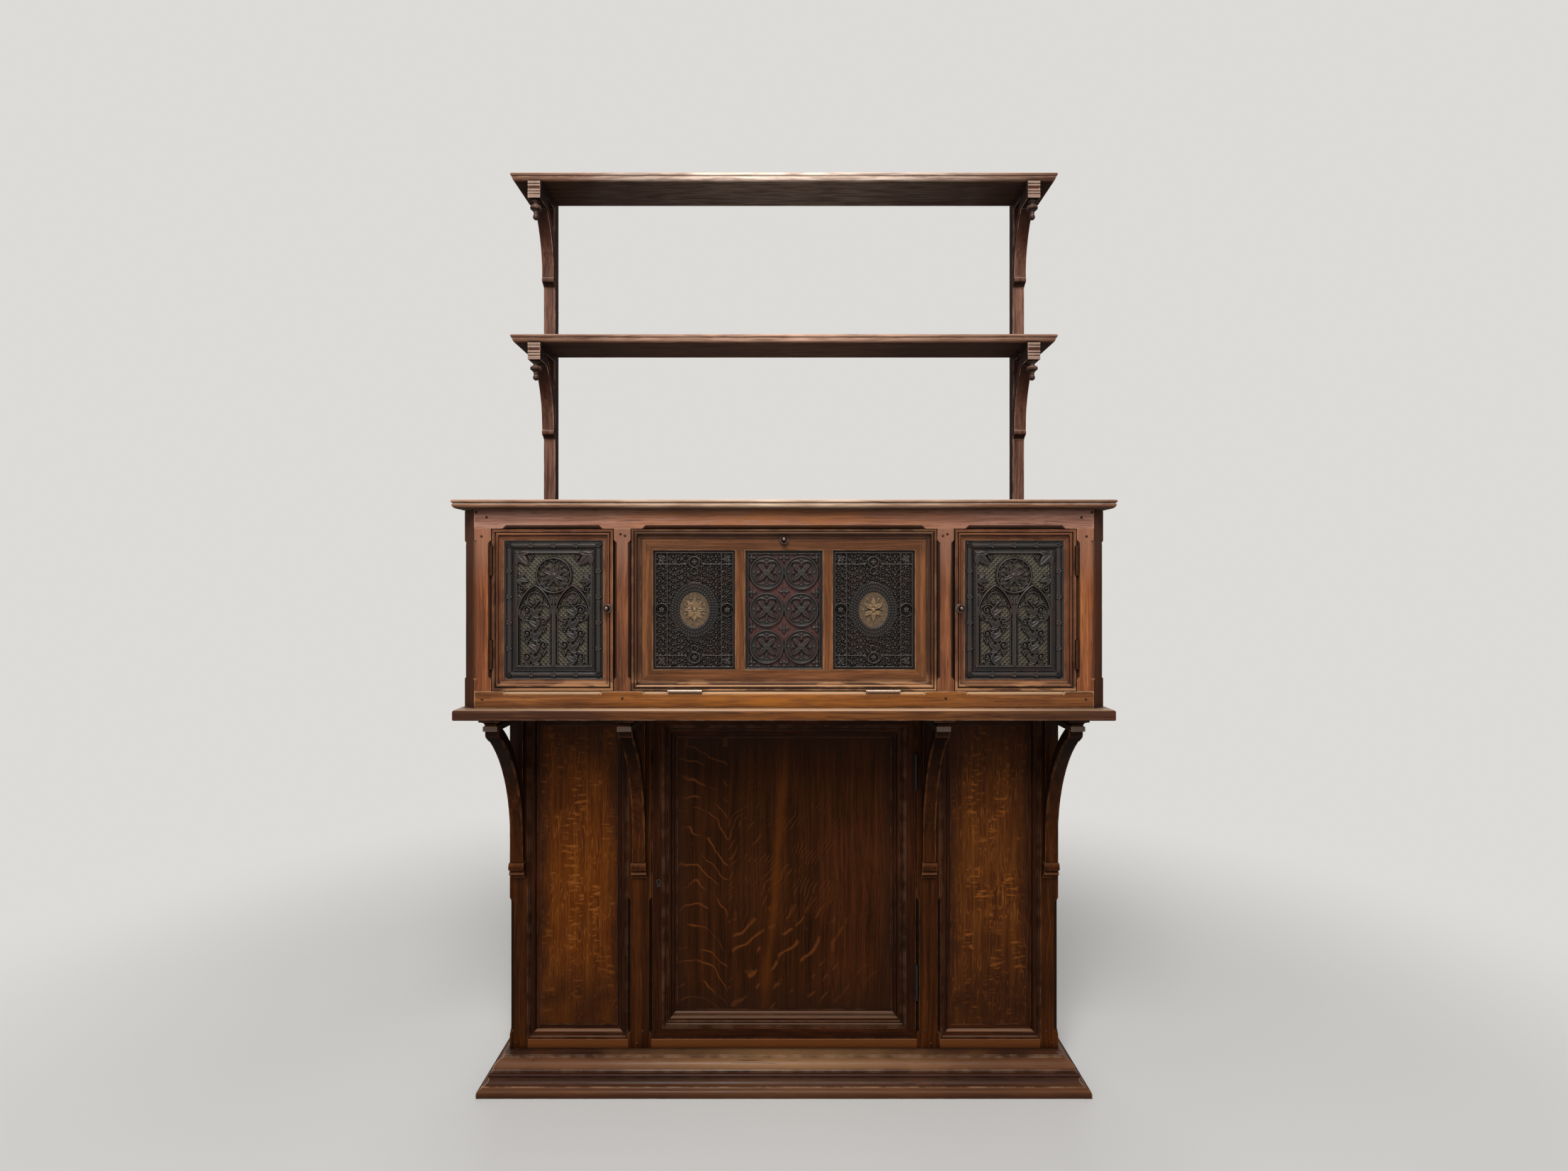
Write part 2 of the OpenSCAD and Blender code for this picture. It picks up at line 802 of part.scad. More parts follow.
module corner_post_right() {
    difference() {
        translate([0, 0, cab_z])
            corner_post();
        mirror([1, 0, 0])
            door_hinge_places()
                hinge_seat(cab_hinge_l);
    }
}

module mullion() {
    color("#5e3420")
        difference() {
            box(flap_open_x, mullion_out, cab_y, cab_y + frame_d, open_z, open_z + open_h);
            for (x = [0, 1])
                translate([x == 0 ? flap_open_x : mullion_out, cab_y, open_z + post_stop])
                    mirror([x, 0, 0])
                        stop_chamfer(post_chamfer_l, cab_chamfer, cab_chamfer);
        }
}

// The chamfers of the rails stop this far from the posts
rail_stop = 20;
rail_spans = [[rail_stop - post_in, -mullion_out - rail_stop],
    [rail_stop - flap_open_x, flap_open_x - rail_stop],
    [mullion_out + rail_stop, post_in - rail_stop]];
module cab_rail_bottom() {
    color("#6a3c22")
        difference() {
            box(-rail_hw, rail_hw, cab_y, cab_y + frame_d, cab_z, cab_z + cab_rail_low);
            flap_hinge_places()
                hinge_seat(flap_hinge_l);
            for (span = rail_spans)
                translate([span[0], cab_y, open_z])
                    mirror([0, 0, 1])
                        rotate([90, 0, 90])
                            stop_chamfer(span[1] - span[0], low_chamfer_in, rail_chamfer);
        }
}

module cab_rail_head() {
    color("#6a3c22")
        difference() {
            box(-rail_hw, rail_hw, cab_y, cab_y + frame_d, slab_z - cab_rail_top, slab_z);
            for (span = rail_spans)
                translate([span[0], cab_y, slab_z - cab_rail_top])
                    rotate([90, 0, 90])
                        stop_chamfer(span[1] - span[0], rail_chamfer, rail_chamfer);
        }
}

module cab_side() {
    color("#5a3220")
        box(cab_hw - side_t, cab_hw, cab_y + 2 * cant, back_y, cab_z, slab_z);
}

module cab_back() {
    color("#40210f")
        box(side_t - cab_hw, cab_hw - side_t, back_y - back_t, back_y, cab_z, slab_z);
}

module partitions() {
    color("#4a2814")
        both_sides()
            box(partition_x - partition_t / 2, partition_x + partition_t / 2, cab_y + frame_d,
                back_y - back_t, cab_z, slab_z);
}

// Cabinet doors, drawn on the left and mirrored to the right

// A fillet, a sunk bead between quirks, and a slope to a step at the panel
door_profile = concat(
    [[0, 0], [4.2, 0], [4.2, 3.8]],
    arc(8.4, 3.8, 2.8, 180, 360, 6),
    [[11.2, 5.2], [12.4, 5.2], [16, 6.4], [16, 7.5],
        [door_frame_w, 7.5], [door_frame_w, door_t], [0, door_t]]);
carve_y = cab_y + carve_recess;

module door_hinge_places() {
    for (z = [door_z + cab_hinge_in + 9, door_z + door_h - cab_hinge_in - cab_hinge_l])
        translate([-door_axis_x, cab_axis_y, z])
            children();
}

module door_frame() {
    color("#5c3020")
        difference() {
            translate([-door_x, cab_y, door_z + door_h / 2])
                mitred_ring(door_w, door_h, door_profile);
            door_hinge_places()
                hinge_seat(cab_hinge_l);
            knob_bore(-knob_x, knob_z, 0);
        }
}

// A carved panel as its ground, its border and its round boss
carve_border = 10;
carve_relief = 5;
boss_r = 36;
boss_rim = 8;
module carving(w, h) {
    color("#2c2a26")
        rotate([90, 0, 0])
            translate([0, 0, -carve_t]) {
                linear_extrude(height = carve_t - carve_relief)
                    square([w, h], center = true);
                linear_extrude(height = carve_t)
                    difference() {
                        square([w, h], center = true);
                        square([w - 2 * carve_border, h - 2 * carve_border], center = true);
                    }
                linear_extrude(height = carve_t)
                    difference() {
                        circle(r = boss_r);
                        circle(r = boss_r - boss_rim);
                    }
            }
}

module door_carving() {
    translate([-door_x, carve_y, door_z + door_h / 2])
        carving(door_w - 2 * door_frame_w, door_h - 2 * door_frame_w);
}

module door_hinges() {
    color("#6e6a60")
        door_hinge_places()
            hinge_moving(cab_hinge_l);
}

// Knob: a rose, a waist and a ball on a shank; the axis points to the front
knob_profile = concat(
    [[0, -shank_l], [shank_r, -shank_l], [shank_r, 0], [rose_r, 0], [rose_r, 1.6],
        [rose_r - 1.4, 2.8], [rose_r - 3.6, 2.2], [3, 4]],
    arc(0, 6 + knob_r, knob_r, -55, 90, 8));
module knob(x, z, seat) {
    color("#4a3c2a")
        translate([x, cab_y + seat, z])
            rotate([90, 0, 0])
                rotate_extrude()
                    polygon(knob_profile);
}

module knob_bore(x, z, seat) {
    translate([x, cab_y - cut, z])
        rotate([-90, 0, 0])
            cylinder(h = cut + seat + shank_l, r = shank_r + pin_play);
}

// Middle flap, hinged along its bottom edge

flap_profile = concat(
    [[0, 0], [3, 0], [3, 3]],
    arc(6.8, 3, 2.6, 180, 360, 6),
    [[9.4, 6], [10.8, 6], [flap_mould_w - 3, 6.8], [flap_mould_w - 3, 8], [flap_frame_w, 8],
        [flap_frame_w, door_t], [0, door_t]]);
flap_flat = 8;
// The rose of the flap knob lies this far behind the cabinet front
flap_knob_seat = 6;

module flap_hinge_places() {
    for (x = [-flap_hinge_x, flap_hinge_x + flap_hinge_l])
        translate([x, cab_axis_y, flap_axis_z])
            rotate([0, -90, 0])
                children();
}

module flap_frame() {
    color("#5c3222")
        difference() {
            union() {
                translate([0, cab_y, door_z + door_h / 2])
                    mitred_ring(flap_w, door_h, flap_profile);
                both_sides()
                    box(flap_mid_w / 2, flap_mid_x, cab_y + flap_flat, cab_y + door_t,
                        door_z + flap_frame_w, door_z + door_h - flap_frame_w);
            }
            flap_hinge_places()
                hinge_seat(flap_hinge_l);
            knob_bore(0, flap_knob_z, flap_knob_seat);
        }
}

module flap_carvings() {
    z = door_z + door_h / 2;
    h = door_h - 2 * flap_frame_w;
    translate([0, carve_y + 4, z]) {
        carving(flap_mid_w, h);
        both_sides()
            translate([flap_mid_x + flap_side_w / 2, 0, 0])
                carving(flap_side_w, h);
    }
}

module flap_hinges() {
    color("#6e6a60")
        flap_hinge_places()
            hinge_moving(flap_hinge_l);
}

module cab_hinges_fixed() {
    color("#6e6a60") {
        both_sides()
            door_hinge_places()
                hinge_fixed(cab_hinge_l);
        flap_hinge_places()
            hinge_fixed(flap_hinge_l);
    }
}

// Open shelves

module upright() {
    color("#54301e")
        box(upright_x - upright_w / 2, upright_x + upright_w / 2, upright_y, back_y,
            slab_top, total_h);
}

shelf_profile = concat([[12, 0]], arc(12, shelf_t - 9, 9, 270, 190, 5), [[2.5, shelf_t - 8]],
    arc(4, shelf_t - 4, 4, 250, 90, 6));
module shelf(z) {
    color("#54301e")
        moulded_board(shelf_hw, shelf_y, upright_y, z, 0, shelf_profile);
}

// Side outline of a shelf bracket as [reach, drop below the shelf]
sweep_mid = [13 + shelf_bracket_r, shelf_bracket_h - 27];
sweep_in = shelf_bracket_r + shelf_strut;
block_back = shelf_d - block_l;
module shelf_bracket_outline() {
    a = side_angle(shelf_bracket_r, sweep_mid[1] - block_h);
    difference() {
        polygon(concat(
            [[0, 0], [shelf_d, 0], [shelf_d, block_h]],
            arc(sweep_mid[0], sweep_mid[1], shelf_bracket_r, 360 - a, 180, 16),
            [[13, shelf_bracket_h - 20], [12, shelf_bracket_h - 19]],
            arc(9, shelf_bracket_h - 13, 6, -50, 60, 5),
            [[7, shelf_bracket_h - 6], [3, shelf_bracket_h - 3], [0, shelf_bracket_h]]));
        shelf_bracket_hole();
    }
}

module shelf_bracket_hole() {
    back = 8;
    top = 10;
    a = 360 - side_angle(sweep_in, sqrt(pow(sweep_in, 2) - pow(sweep_mid[0] - block_back, 2)));
    b = 360 - side_angle(sweep_in, sqrt(pow(sweep_in, 2) - pow(sweep_mid[0] - back, 2)));
    polygon(concat([[back, top], [block_back, top]],
        arc(sweep_mid[0], sweep_mid[1], sweep_in, a, b, 12)));
}

// Upper and lower edges of the block's grooves, in parts of its height, and their depth
block_grooves = [[0.13, 0.19], [0.29, 0.48], [0.58, 0.64], [0.74, 0.80]];
groove_in = 1.5;
module shelf_bracket() {
    color("#4c2a1a")
        difference() {
            translate([-upright_w / 2, upright_y, 0])
                rotate([90, 0, 90])
                    linear_extrude(height = upright_w)
                        mirror([1, 0])
                            mirror([0, 1])
                                shelf_bracket_outline();
            // Grooves between the fillets of the block
            for (groove = block_grooves)
                box(-upright_w, upright_w, shelf_y - cut, shelf_y + groove_in,
                    -groove[1] * block_h, -groove[0] * block_h);
        }
}

module shelf_brackets(z) {
    both_sides()
        translate([upright_x, 0, z])
            shelf_bracket();
}

// Turned pendant under a block; the axis points down
pendant_in = 14;
disc_r = 11.5;
neck_r = 5;
ball_r = 6;
module pendant() {
    h = pendant_h;
    color("#3c2014")
        mirror([0, 0, 1])
            rotate_extrude()
                polygon(concat(
                    [[0, 0], [0.6 * disc_r, 0], [0.7 * disc_r, 0.05 * h], [0.56 * disc_r, 0.1 * h],
                        [neck_r, 0.18 * h], [1.2 * neck_r, 0.28 * h], [0.87 * disc_r, 0.3 * h],
                        [disc_r, 0.375 * h], [0.95 * disc_r, 0.45 * h], [0.7 * disc_r, 0.5 * h],
                        [0.9 * neck_r, 0.6 * h], [0.9 * neck_r, h - 1.8 * ball_r]],
                    arc(0, h - ball_r, ball_r, -45, 90, 8)));
}

module pendants() {
    both_sides()
        for (z = [shelf_low_z, shelf_top_z])
            translate([upright_x, shelf_y + pendant_in, z - block_h])
                pendant();
}

plinth_front();
plinth_returns();
plinth_back();
floor_board();
mirror([1, 0, 0]) outer_post();  // outer_post_left
outer_post();  // outer_post_right
inner_post_left();
inner_post_right();
stand_rails();
bay_mouldings();
mirror([1, 0, 0]) bay_panel();  // bay_panel_left
bay_panel();  // bay_panel_right
mirror([1, 0, 0]) stand_side();  // stand_side_left
stand_side();  // stand_side_right
stand_back();
inner_shelf();
translate([-outer_x, 0, 0]) bracket();  // bracket_outer_left
translate([outer_x, 0, 0]) bracket();  // bracket_outer_right
translate([-inner_x, 0, 0]) bracket();  // bracket_inner_left
translate([inner_x, 0, 0]) bracket();  // bracket_inner_right
low_door_frame();
low_door_moulding();
low_door_panel();
low_door_escutcheon();
low_door_lock();
lock_bolt();
low_hinge_door();
low_hinge_post();
ledge();
corner_post_left();
corner_post_right();
mirror([1, 0, 0]) mullion();  // mullion_left
mullion();  // mullion_right
cab_rail_bottom();
cab_rail_head();
mirror([1, 0, 0]) cab_side();  // cab_side_left
cab_side();  // cab_side_right
cab_back();
partitions();
door_frame();  // door_left_frame
door_carving();  // door_left_carving
knob(-knob_x, knob_z, 0);  // door_left_knob
door_hinges();  // door_left_hinges
mirror([1, 0, 0]) door_frame();  // door_right_frame
mirror([1, 0, 0]) door_carving();  // door_right_carving
knob(knob_x, knob_z, 0);  // door_right_knob
mirror([1, 0, 0]) door_hinges();  // door_right_hinges
flap_frame();
flap_carvings();
knob(0, flap_knob_z, flap_knob_seat);  // flap_knob
flap_hinges();
cab_hinges_fixed();
top_slab();
mirror([1, 0, 0]) upright();  // upright_left
upright();  // upright_right
shelf(shelf_low_z);  // shelf_low
shelf(shelf_top_z);  // shelf_top
shelf_brackets(shelf_low_z);  // shelf_brackets_low
shelf_brackets(shelf_top_z);  // shelf_brackets_top
pendants();
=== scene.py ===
"""An oak cabinet on a cupboard stand, with two open shelves above it.

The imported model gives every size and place. This script rounds and wears the joiner's work, carves the
panels, and gives every piece its finish.
"""

import json
import math
from collections import namedtuple

import bmesh
import bpy
import numpy as np
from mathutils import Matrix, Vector, noise

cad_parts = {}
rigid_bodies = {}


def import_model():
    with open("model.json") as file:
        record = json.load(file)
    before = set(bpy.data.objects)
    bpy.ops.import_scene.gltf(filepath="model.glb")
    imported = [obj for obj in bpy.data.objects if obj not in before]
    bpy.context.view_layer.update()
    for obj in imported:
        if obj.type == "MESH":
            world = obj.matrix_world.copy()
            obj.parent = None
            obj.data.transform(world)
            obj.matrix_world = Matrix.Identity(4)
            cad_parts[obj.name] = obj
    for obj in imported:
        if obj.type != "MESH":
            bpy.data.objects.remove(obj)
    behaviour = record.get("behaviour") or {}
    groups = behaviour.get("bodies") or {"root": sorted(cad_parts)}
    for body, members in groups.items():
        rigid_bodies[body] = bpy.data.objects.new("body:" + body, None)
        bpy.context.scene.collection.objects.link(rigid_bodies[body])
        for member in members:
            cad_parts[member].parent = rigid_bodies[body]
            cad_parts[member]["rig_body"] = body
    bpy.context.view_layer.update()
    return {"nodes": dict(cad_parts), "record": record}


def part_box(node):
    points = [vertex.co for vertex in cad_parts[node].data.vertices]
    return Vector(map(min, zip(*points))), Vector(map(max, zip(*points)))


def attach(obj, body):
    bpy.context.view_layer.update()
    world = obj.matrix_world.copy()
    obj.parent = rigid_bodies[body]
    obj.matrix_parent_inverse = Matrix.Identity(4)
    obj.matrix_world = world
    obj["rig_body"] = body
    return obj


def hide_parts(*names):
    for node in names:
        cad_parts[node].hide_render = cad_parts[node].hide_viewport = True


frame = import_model()

bl_info = {
    "name": "Cabinet on Stand",
    "version": (1, 0, 0),
    "blender": (4, 5, 0),
    "location": "3D View > Sidebar > Cabinet",
    "description": "Finishes an oak cabinet on stand around its packed model",
    "category": "Object",
}

MM = 0.001
LOW, HIGH = 0, 1
BACKDROP = "#dddbd8"
# Points of a CAD mesh closer than this are one
WELD = 0.004 * MM
# Edges that turn by more degrees than these are rounded off, or shaded sharp
ROUNDED_ANGLE, SHARP_ANGLE, CARVED_SHARP_ANGLE = 32, 38, 80


def lengths(*rows):
    """Length properties from rows of a name, a default, the limits in millimetres and a description."""
    return {key: bpy.props.FloatProperty(
        name=key.replace("_", " ").capitalize(), description=description, default=size * MM,
        min=low * MM, max=high * MM, unit="LENGTH") for key, size, low, high, description in rows}


class CabinetWear(bpy.types.PropertyGroup):
    """Sizes of the rounding and wear on the joiner's work"""

    __annotations__ = lengths(
        ("arris", 0.9, 0.1, 3, "Rounding of the edges of plain boards"),
        ("fine_arris", 0.45, 0.1, 1, "Rounding of the edges of mouldings"),
        ("wear", 0.55, 0, 1.5, "How deep the edges are worn where hands have rubbed them"),
        ("wear_step", 9, 3, 50, "Distance between cuts along a board, for its wear to follow"))


class CabinetCarving(bpy.types.PropertyGroup):
    """Sizes of the carved panels"""

    __annotations__ = lengths(
        ("step", 0.8, 0.5, 2, "Spacing of the points of the carved surface"),
        ("bead_radius", 1.5, 0.8, 3, "Radius of the beads in the carved borders"),
        ("bead_spacing", 3.6, 2, 8, "Distance between the beads in the carved borders"),
        ("rosette_radius", 5.6, 3, 8, "Radius of the rosettes on the door panels' rods"),
        ("rosette_spacing", 39, 20, 60, "Distance between the rosettes on the door panels' rods"))
    __annotations__["seed"] = bpy.props.IntProperty(
        name="Seed", description="Seed of the small unevenness of the carver's hand", default=7)


# Each finish's name, its sRGB hex value and where it is used
COLOURS = (
    ("frame_dark", "#3c2112", "Pores and dark grain of the cabinet's framing"),
    ("frame_mid", "#733f23", "Body of the cabinet's framing"),
    ("frame_light", "#9a5f36", "Light grain of the cabinet's framing"),
    # The worn colours are also the painted top light on faces that look up
    ("worn", "#c99768", "Cabinet oak where the stain is rubbed away"),
    # The stand's colours are partly painted shade under the ledge
    ("stand_dark", "#150802", "Pores and dark grain of the stand's framing"),
    ("stand_mid", "#331704", "Body of the stand's framing"),
    ("stand_light", "#4d260b", "Light grain of the stand's framing"),
    ("stand_worn", "#96603a", "Stand oak where the stain is rubbed away"),
    ("golden", "#512605", "Body of the left fixed panel"),
    ("golden_ray", "#744117", "Rays in the fixed panels"),
    ("carving", "#1d1916", "Blackened oak of the carved panels"),
    ("door_ground", "#4a4430", "Paint behind the carving of the doors"),
    ("flap_ground", "#4d2723", "Paint behind the carving of the flap"),
    ("gilt", "#7d6344", "Rubbed gilding of the oval bosses"))


class CabinetColours(bpy.types.PropertyGroup):
    """Colours of the finishes, as sRGB hex values"""

    __annotations__ = {
        key: bpy.props.StringProperty(
            name=key.replace("_", " ").capitalize(), description=text, default=colour)
        for key, colour, text in COLOURS}


# The middle, half size, member width and symmetry of a mitred frame, seen from the front
Ring = namedtuple("Ring", "mid_x mid_z half_w half_h member mirrored")


def linear(hex_colour, gain=1.0):
    """The linear colour of an sRGB hex value, made lighter or darker by gain."""
    channels = [int(hex_colour[i:i + 2], 16) / 255 for i in (1, 3, 5)]
    return [gain * (c / 12.92 if c <= 0.04045 else ((c + 0.055) / 1.055) ** 2.4) for c in channels] + [1]


def plug(tree, value, socket):
    """Sets an input, or links it to a socket or to a node's first output in use. A string is a hex
    colour, and None leaves the input as it is."""
    if isinstance(value, bpy.types.Node):
        value = next(output for output in value.outputs if output.enabled)
    if isinstance(value, bpy.types.NodeSocket):
        tree.links.new(value, socket)
    elif value is not None:
        socket.default_value = linear(value) if isinstance(value, str) else value


def add(tree, kind, *values, **settings):
    """Adds a node with its settings, and plugs values into its inputs in use, in their order; a dict
    names its inputs instead. kind is a whole type, a shader node's type without its prefix, or a Math
    node's operation."""
    if kind.isupper():
        kind, settings = "Math", {"operation": kind}
    node = tree.nodes.new(kind if "Node" in kind else "ShaderNode" + kind)
    for name, value in settings.items():
        setattr(node, name, value)
    sockets = [socket for socket in node.inputs if socket.enabled]
    for i, value in enumerate(values):
        if isinstance(value, dict):
            for name, named in value.items():
                plug(tree, named, node.inputs[name])
        else:
            plug(tree, value, sockets[i])
    return node


def new_material(name, roughness, metallic=0.0, shine=0.5):
    """A material, its node tree and its shader."""
    material = bpy.data.materials.new(name)
    material.use_nodes = True
    shader = material.node_tree.nodes["Principled BSDF"]
    for key, value in (("Roughness", roughness), ("Metallic", metallic), ("Specular IOR Level", shine)):
        shader.inputs[key].default_value = value
    return material, material.node_tree, shader


def surface(tree, shader, colour, gloss, height, strength, depth):
    """Plugs a colour, a roughness and a fine relief into a shader."""
    relief = add(tree, "Bump", {"Strength": strength, "Distance": depth, "Height": height})
    for key, value in (("Base Color", colour), ("Roughness", gloss), ("Normal", relief)):
        plug(tree, value, shader.inputs[key])


def ramp(node, *stops):
    """Sets a colour ramp's stops from (position, colour) pairs."""
    elements = node.color_ramp.elements
    while len(elements) < len(stops):
        elements.new(0.5)
    for element, (position, colour) in zip(elements, stops):
        element.position = position
        element.color = linear(colour) if isinstance(colour, str) else colour
    return node


def tinted(tree, colour, tone, *shares):
    """A colour turned towards a tone by the product of some shares."""
    amount = shares[0]
    for share in shares[1:]:
        amount = add(tree, "MULTIPLY", amount, share)
    return add(tree, "Mix", amount, colour, tone, data_type="RGBA")


def patches(tree, place, scale, detail, low, high, least=0.0, most=1.0):
    """Cloudy patches that rise from least to most."""
    clouds = add(tree, "TexNoise", place, scale, detail)
    return add(tree, "MapRange", clouds, low, high, least, most)


def stretched(tree, place, cycles, detail, roughness=0.5):
    """Noise with its own cycles per metre along each axis."""
    vector = add(tree, "VectorMath", place, cycles, operation="MULTIPLY")
    return add(tree, "TexNoise", vector, 1.0, detail, roughness)


def grained(tree, place, across, along, grain, mask, detail, roughness=0.5):
    """Noise drawn out along the grain: across and along are cycles per metre."""
    cycles = {"X": (along, across, across), "Y": (across, along, across), "Z": (across, across, along)}
    if mask is None:
        return stretched(tree, place, cycles[grain], detail, roughness)
    rail = add(tree, "VectorMath", place, cycles["X"], operation="MULTIPLY")
    stile = add(tree, "VectorMath", place, cycles["Z"], operation="MULTIPLY")
    vector = add(tree, "Mix", mask, rail, stile, data_type="VECTOR")
    return add(tree, "TexNoise", vector, 1.0, detail, roughness)


def away_from(tree, value, middle):
    """How far a value lies from a middle, either way."""
    return add(tree, "ABSOLUTE", add(tree, "SUBTRACT", value, middle))


def past_edges(tree, place, ring):
    """How far a point lies outside a ring's sides and its ends. Inside it, both are below 0."""
    axes = add(tree, "SeparateXYZ", place)
    x = add(tree, "ABSOLUTE", axes.outputs["X"]) if ring.mirrored else axes.outputs["X"]
    return (add(tree, "SUBTRACT", away_from(tree, x, ring.mid_x), ring.half_w),
            add(tree, "SUBTRACT", away_from(tree, axes.outputs["Z"], ring.mid_z), ring.half_h))


def stile_mask(tree, place, ring):
    """1 on the upright members of a mitred frame and 0 on its rails, meeting at the mitres."""
    past_side, past_end = past_edges(tree, place, ring)
    stile = add(tree, "GREATER_THAN", past_side, past_end)
    return add(tree, "MAXIMUM", stile, add(tree, "LESS_THAN", past_end, -ring.member))


def arrises(tree, radius, plain, sharp, most):
    """Up to most on arrises, found where the surface turns within radius."""
    rounded = add(tree, "Bevel", radius, samples=4)
    flat = add(tree, "NewGeometry").outputs["Normal"]
    turn = add(tree, "VectorMath", rounded, flat, operation="DOT_PRODUCT")
    return add(tree, "MapRange", turn, plain, sharp, 0.0, most)


def shade_and_grime_in_hollows(tree, colour, dirt, reach, samples, shut, open_, most):
    """A colour darkened in the hollows, where less light comes in from within reach: painted shade, with
    the dirt that lies there.
    """
    light = add(tree, "AmbientOcclusion", None, reach, samples=samples).outputs["AO"]
    return tinted(tree, colour, dirt, add(tree, "MapRange", light, shut, open_, most, 0.0))


def oak(name, tones, grain="Z", mitre=None, figure=None, fade=None, roughness=0.40, worn=0.6,
        side=0.6, shine=0.14, dusty=0.3, lie=0.3, front=None, dents=0.4, over=None):
    """Oak, planed, fumed dark and waxed: straight streaks and short dark pores along the grain,
    painted shade with grime in the corners, painted top light on faces that look up, painted shade on
    faces that look down or sideways, and arrises that hands and dusters have rubbed light.
    tones are the dark, middle, light and worn colours; the worn colour is also the painted top light.
    mitre is the ring of a mitred frame, and fade is a ring, a reach and a colour for edge_fade. lie is
    the upward lean where the painted top light begins, and level tops are lit only in front of the
    plane front. figure is drawn under the wear, and over on it."""
    dark, middle, light, rubbed = tones
    # An old thin wax film shines less than varnish
    material, tree, shader = new_material(name, roughness, shine=shine)
    place = add(tree, "TexCoord").outputs["Object"]
    mask = stile_mask(tree, place, mitre) if mitre else None

    # Grain wanders by a few millimetres over a board's length
    wander = add(tree, "TexNoise", place, 4.5, 1.0).outputs["Color"]
    shift = add(tree, "VectorMath", wander, (0.016, 0.016, 0.016), operation="MULTIPLY")
    bent = add(tree, "VectorMath", place, shift, operation="ADD")

    # Growth bands about 12 mm apart, streaks of 3 mm, and pores drawn 1.4 mm wide to show at all
    bands = grained(tree, bent, 80, 2, grain, mask, 2.0)
    streaks = grained(tree, bent, 330, 7, grain, mask, 3.0, 0.6)
    pores = grained(tree, bent, 700, 30, grain, mask, 1.0)
    clouds = add(tree, "TexNoise", place, 6.0, 3.0)
    mixed = 0.0
    for pattern, share in ((bands, 0.34), (streaks, 0.40), (clouds, 0.26)):
        mixed = add(tree, "MULTIPLY_ADD", pattern, share, mixed)
    colour = ramp(add(tree, "ValToRGB", mixed), (0.34, dark), (0.50, middle), (0.64, light))
    pore = add(tree, "MapRange", pores, 0.55, 0.70, 0.0, 0.5)
    colour = tinted(tree, colour, linear(dark, 0.8), pore)
    if figure:
        colour = figure(tree, place, bent, colour)
    if fade:
        colour = edge_fade(tree, place, colour, *fade)

    gloss = add(tree, "MapRange", clouds, 0.3, 0.7, roughness - 0.08, roughness + 0.1)
    if worn:
        colour, dull = by_facing(tree, place, colour, dark, rubbed, side, dusty, lie, front)
        colour = knocks(tree, place, bent, colour, grain, mask, dents)
        gloss = add(tree, "MAXIMUM", gloss, dull)
    rub = patches(tree, place, 38.0, 2.0, 0.40, 0.62, 0.15)
    colour = tinted(tree, colour, rubbed, arrises(tree, 2.5 * MM, 0.98, 0.84, 1.0), rub, worn)
    if over:
        colour = over(tree, place, bent, colour)
    # Painted shade from ambient occlusion, with old wax and dirt, darkens the quirks and corners
    colour = shade_and_grime_in_hollows(tree, colour, "#120906", 14 * MM, 8, 0.30, 0.90, 0.88)
    surface(tree, shader, colour, gloss, add(tree, "SUBTRACT", streaks, pore), 0.25, 0.3 * MM)
    return material


def by_facing(tree, place, colour, dark, rubbed, side, dusty, lie, front):
    """Painted top light makes faces that look up lighter, towards the worn tone, and painted shade
    makes faces that look down or sideways darker. Those, which no cloth reaches, are as rough as
    the second output says."""
    facing = add(tree, "SeparateXYZ", add(tree, "TexCoord").outputs["Normal"])
    lean = facing.outputs["Z"]
    # Painted top light: faces that look up are turned towards the worn tone
    up = add(tree, "MapRange", lean, lie, lie + 0.4, 0.0, dusty)
    level = add(tree, "MapRange", lean, 0.95, 0.99, 1.0, 0.25)
    if front is not None:
        before = add(tree, "LESS_THAN", add(tree, "SeparateXYZ", place).outputs["Y"], front)
        level = add(tree, "MAXIMUM", level, before)
    # Painted shade on faces that look down or sideways
    down = add(tree, "MapRange", lean, -0.3, -0.9, 0.0, 0.85)
    out = add(tree, "MapRange", add(tree, "ABSOLUTE", facing.outputs["X"]), 0.25, 0.65)
    shade = add(tree, "MAXIMUM", down, add(tree, "MULTIPLY", out, side))
    colour = tinted(tree, colour, rubbed, up, level)
    return tinted(tree, colour, linear(dark, 0.5), shade), add(tree, "MAXIMUM", down, out)


def knocks(tree, place, bent, colour, grain, mask, dents):
    """Old dents and worm holes 1 to 2 mm across, and dark shakes along the grain."""
    cells = add(tree, "TexVoronoi", place, 52.0)
    hole = add(tree, "MapRange", cells, 0.05, 0.09, 1.0, 0.0)
    chance = add(tree, "SeparateXYZ", cells.outputs["Color"])
    hole = add(tree, "MULTIPLY", hole, add(tree, "GREATER_THAN", chance, 0.70))
    split = add(tree, "MapRange", grained(tree, bent, 380, 9, grain, mask, 1.0), 0.71, 0.75)
    return tinted(tree, colour, "#120704", add(tree, "MAXIMUM", hole, split), dents)


def edge_fade(tree, place, colour, ring, end_reach, dark):
    """Darkens a panel towards its frame, 30 mm in from its sides and end_reach from its ends: partly
    polish and dirt built up there, and partly painted shade cast by the frame and the ledge above."""
    near = [add(tree, "MapRange", past, -reach, 0.0, interpolation_type="SMOOTHSTEP")
            for past, reach in zip(past_edges(tree, place, ring), (30 * MM, end_reach))]
    uneven = patches(tree, place, 22.0, 3.0, 0.3, 0.7, 0.55)
    return tinted(tree, colour, dark, add(tree, "MAXIMUM", *near), uneven, 0.85)


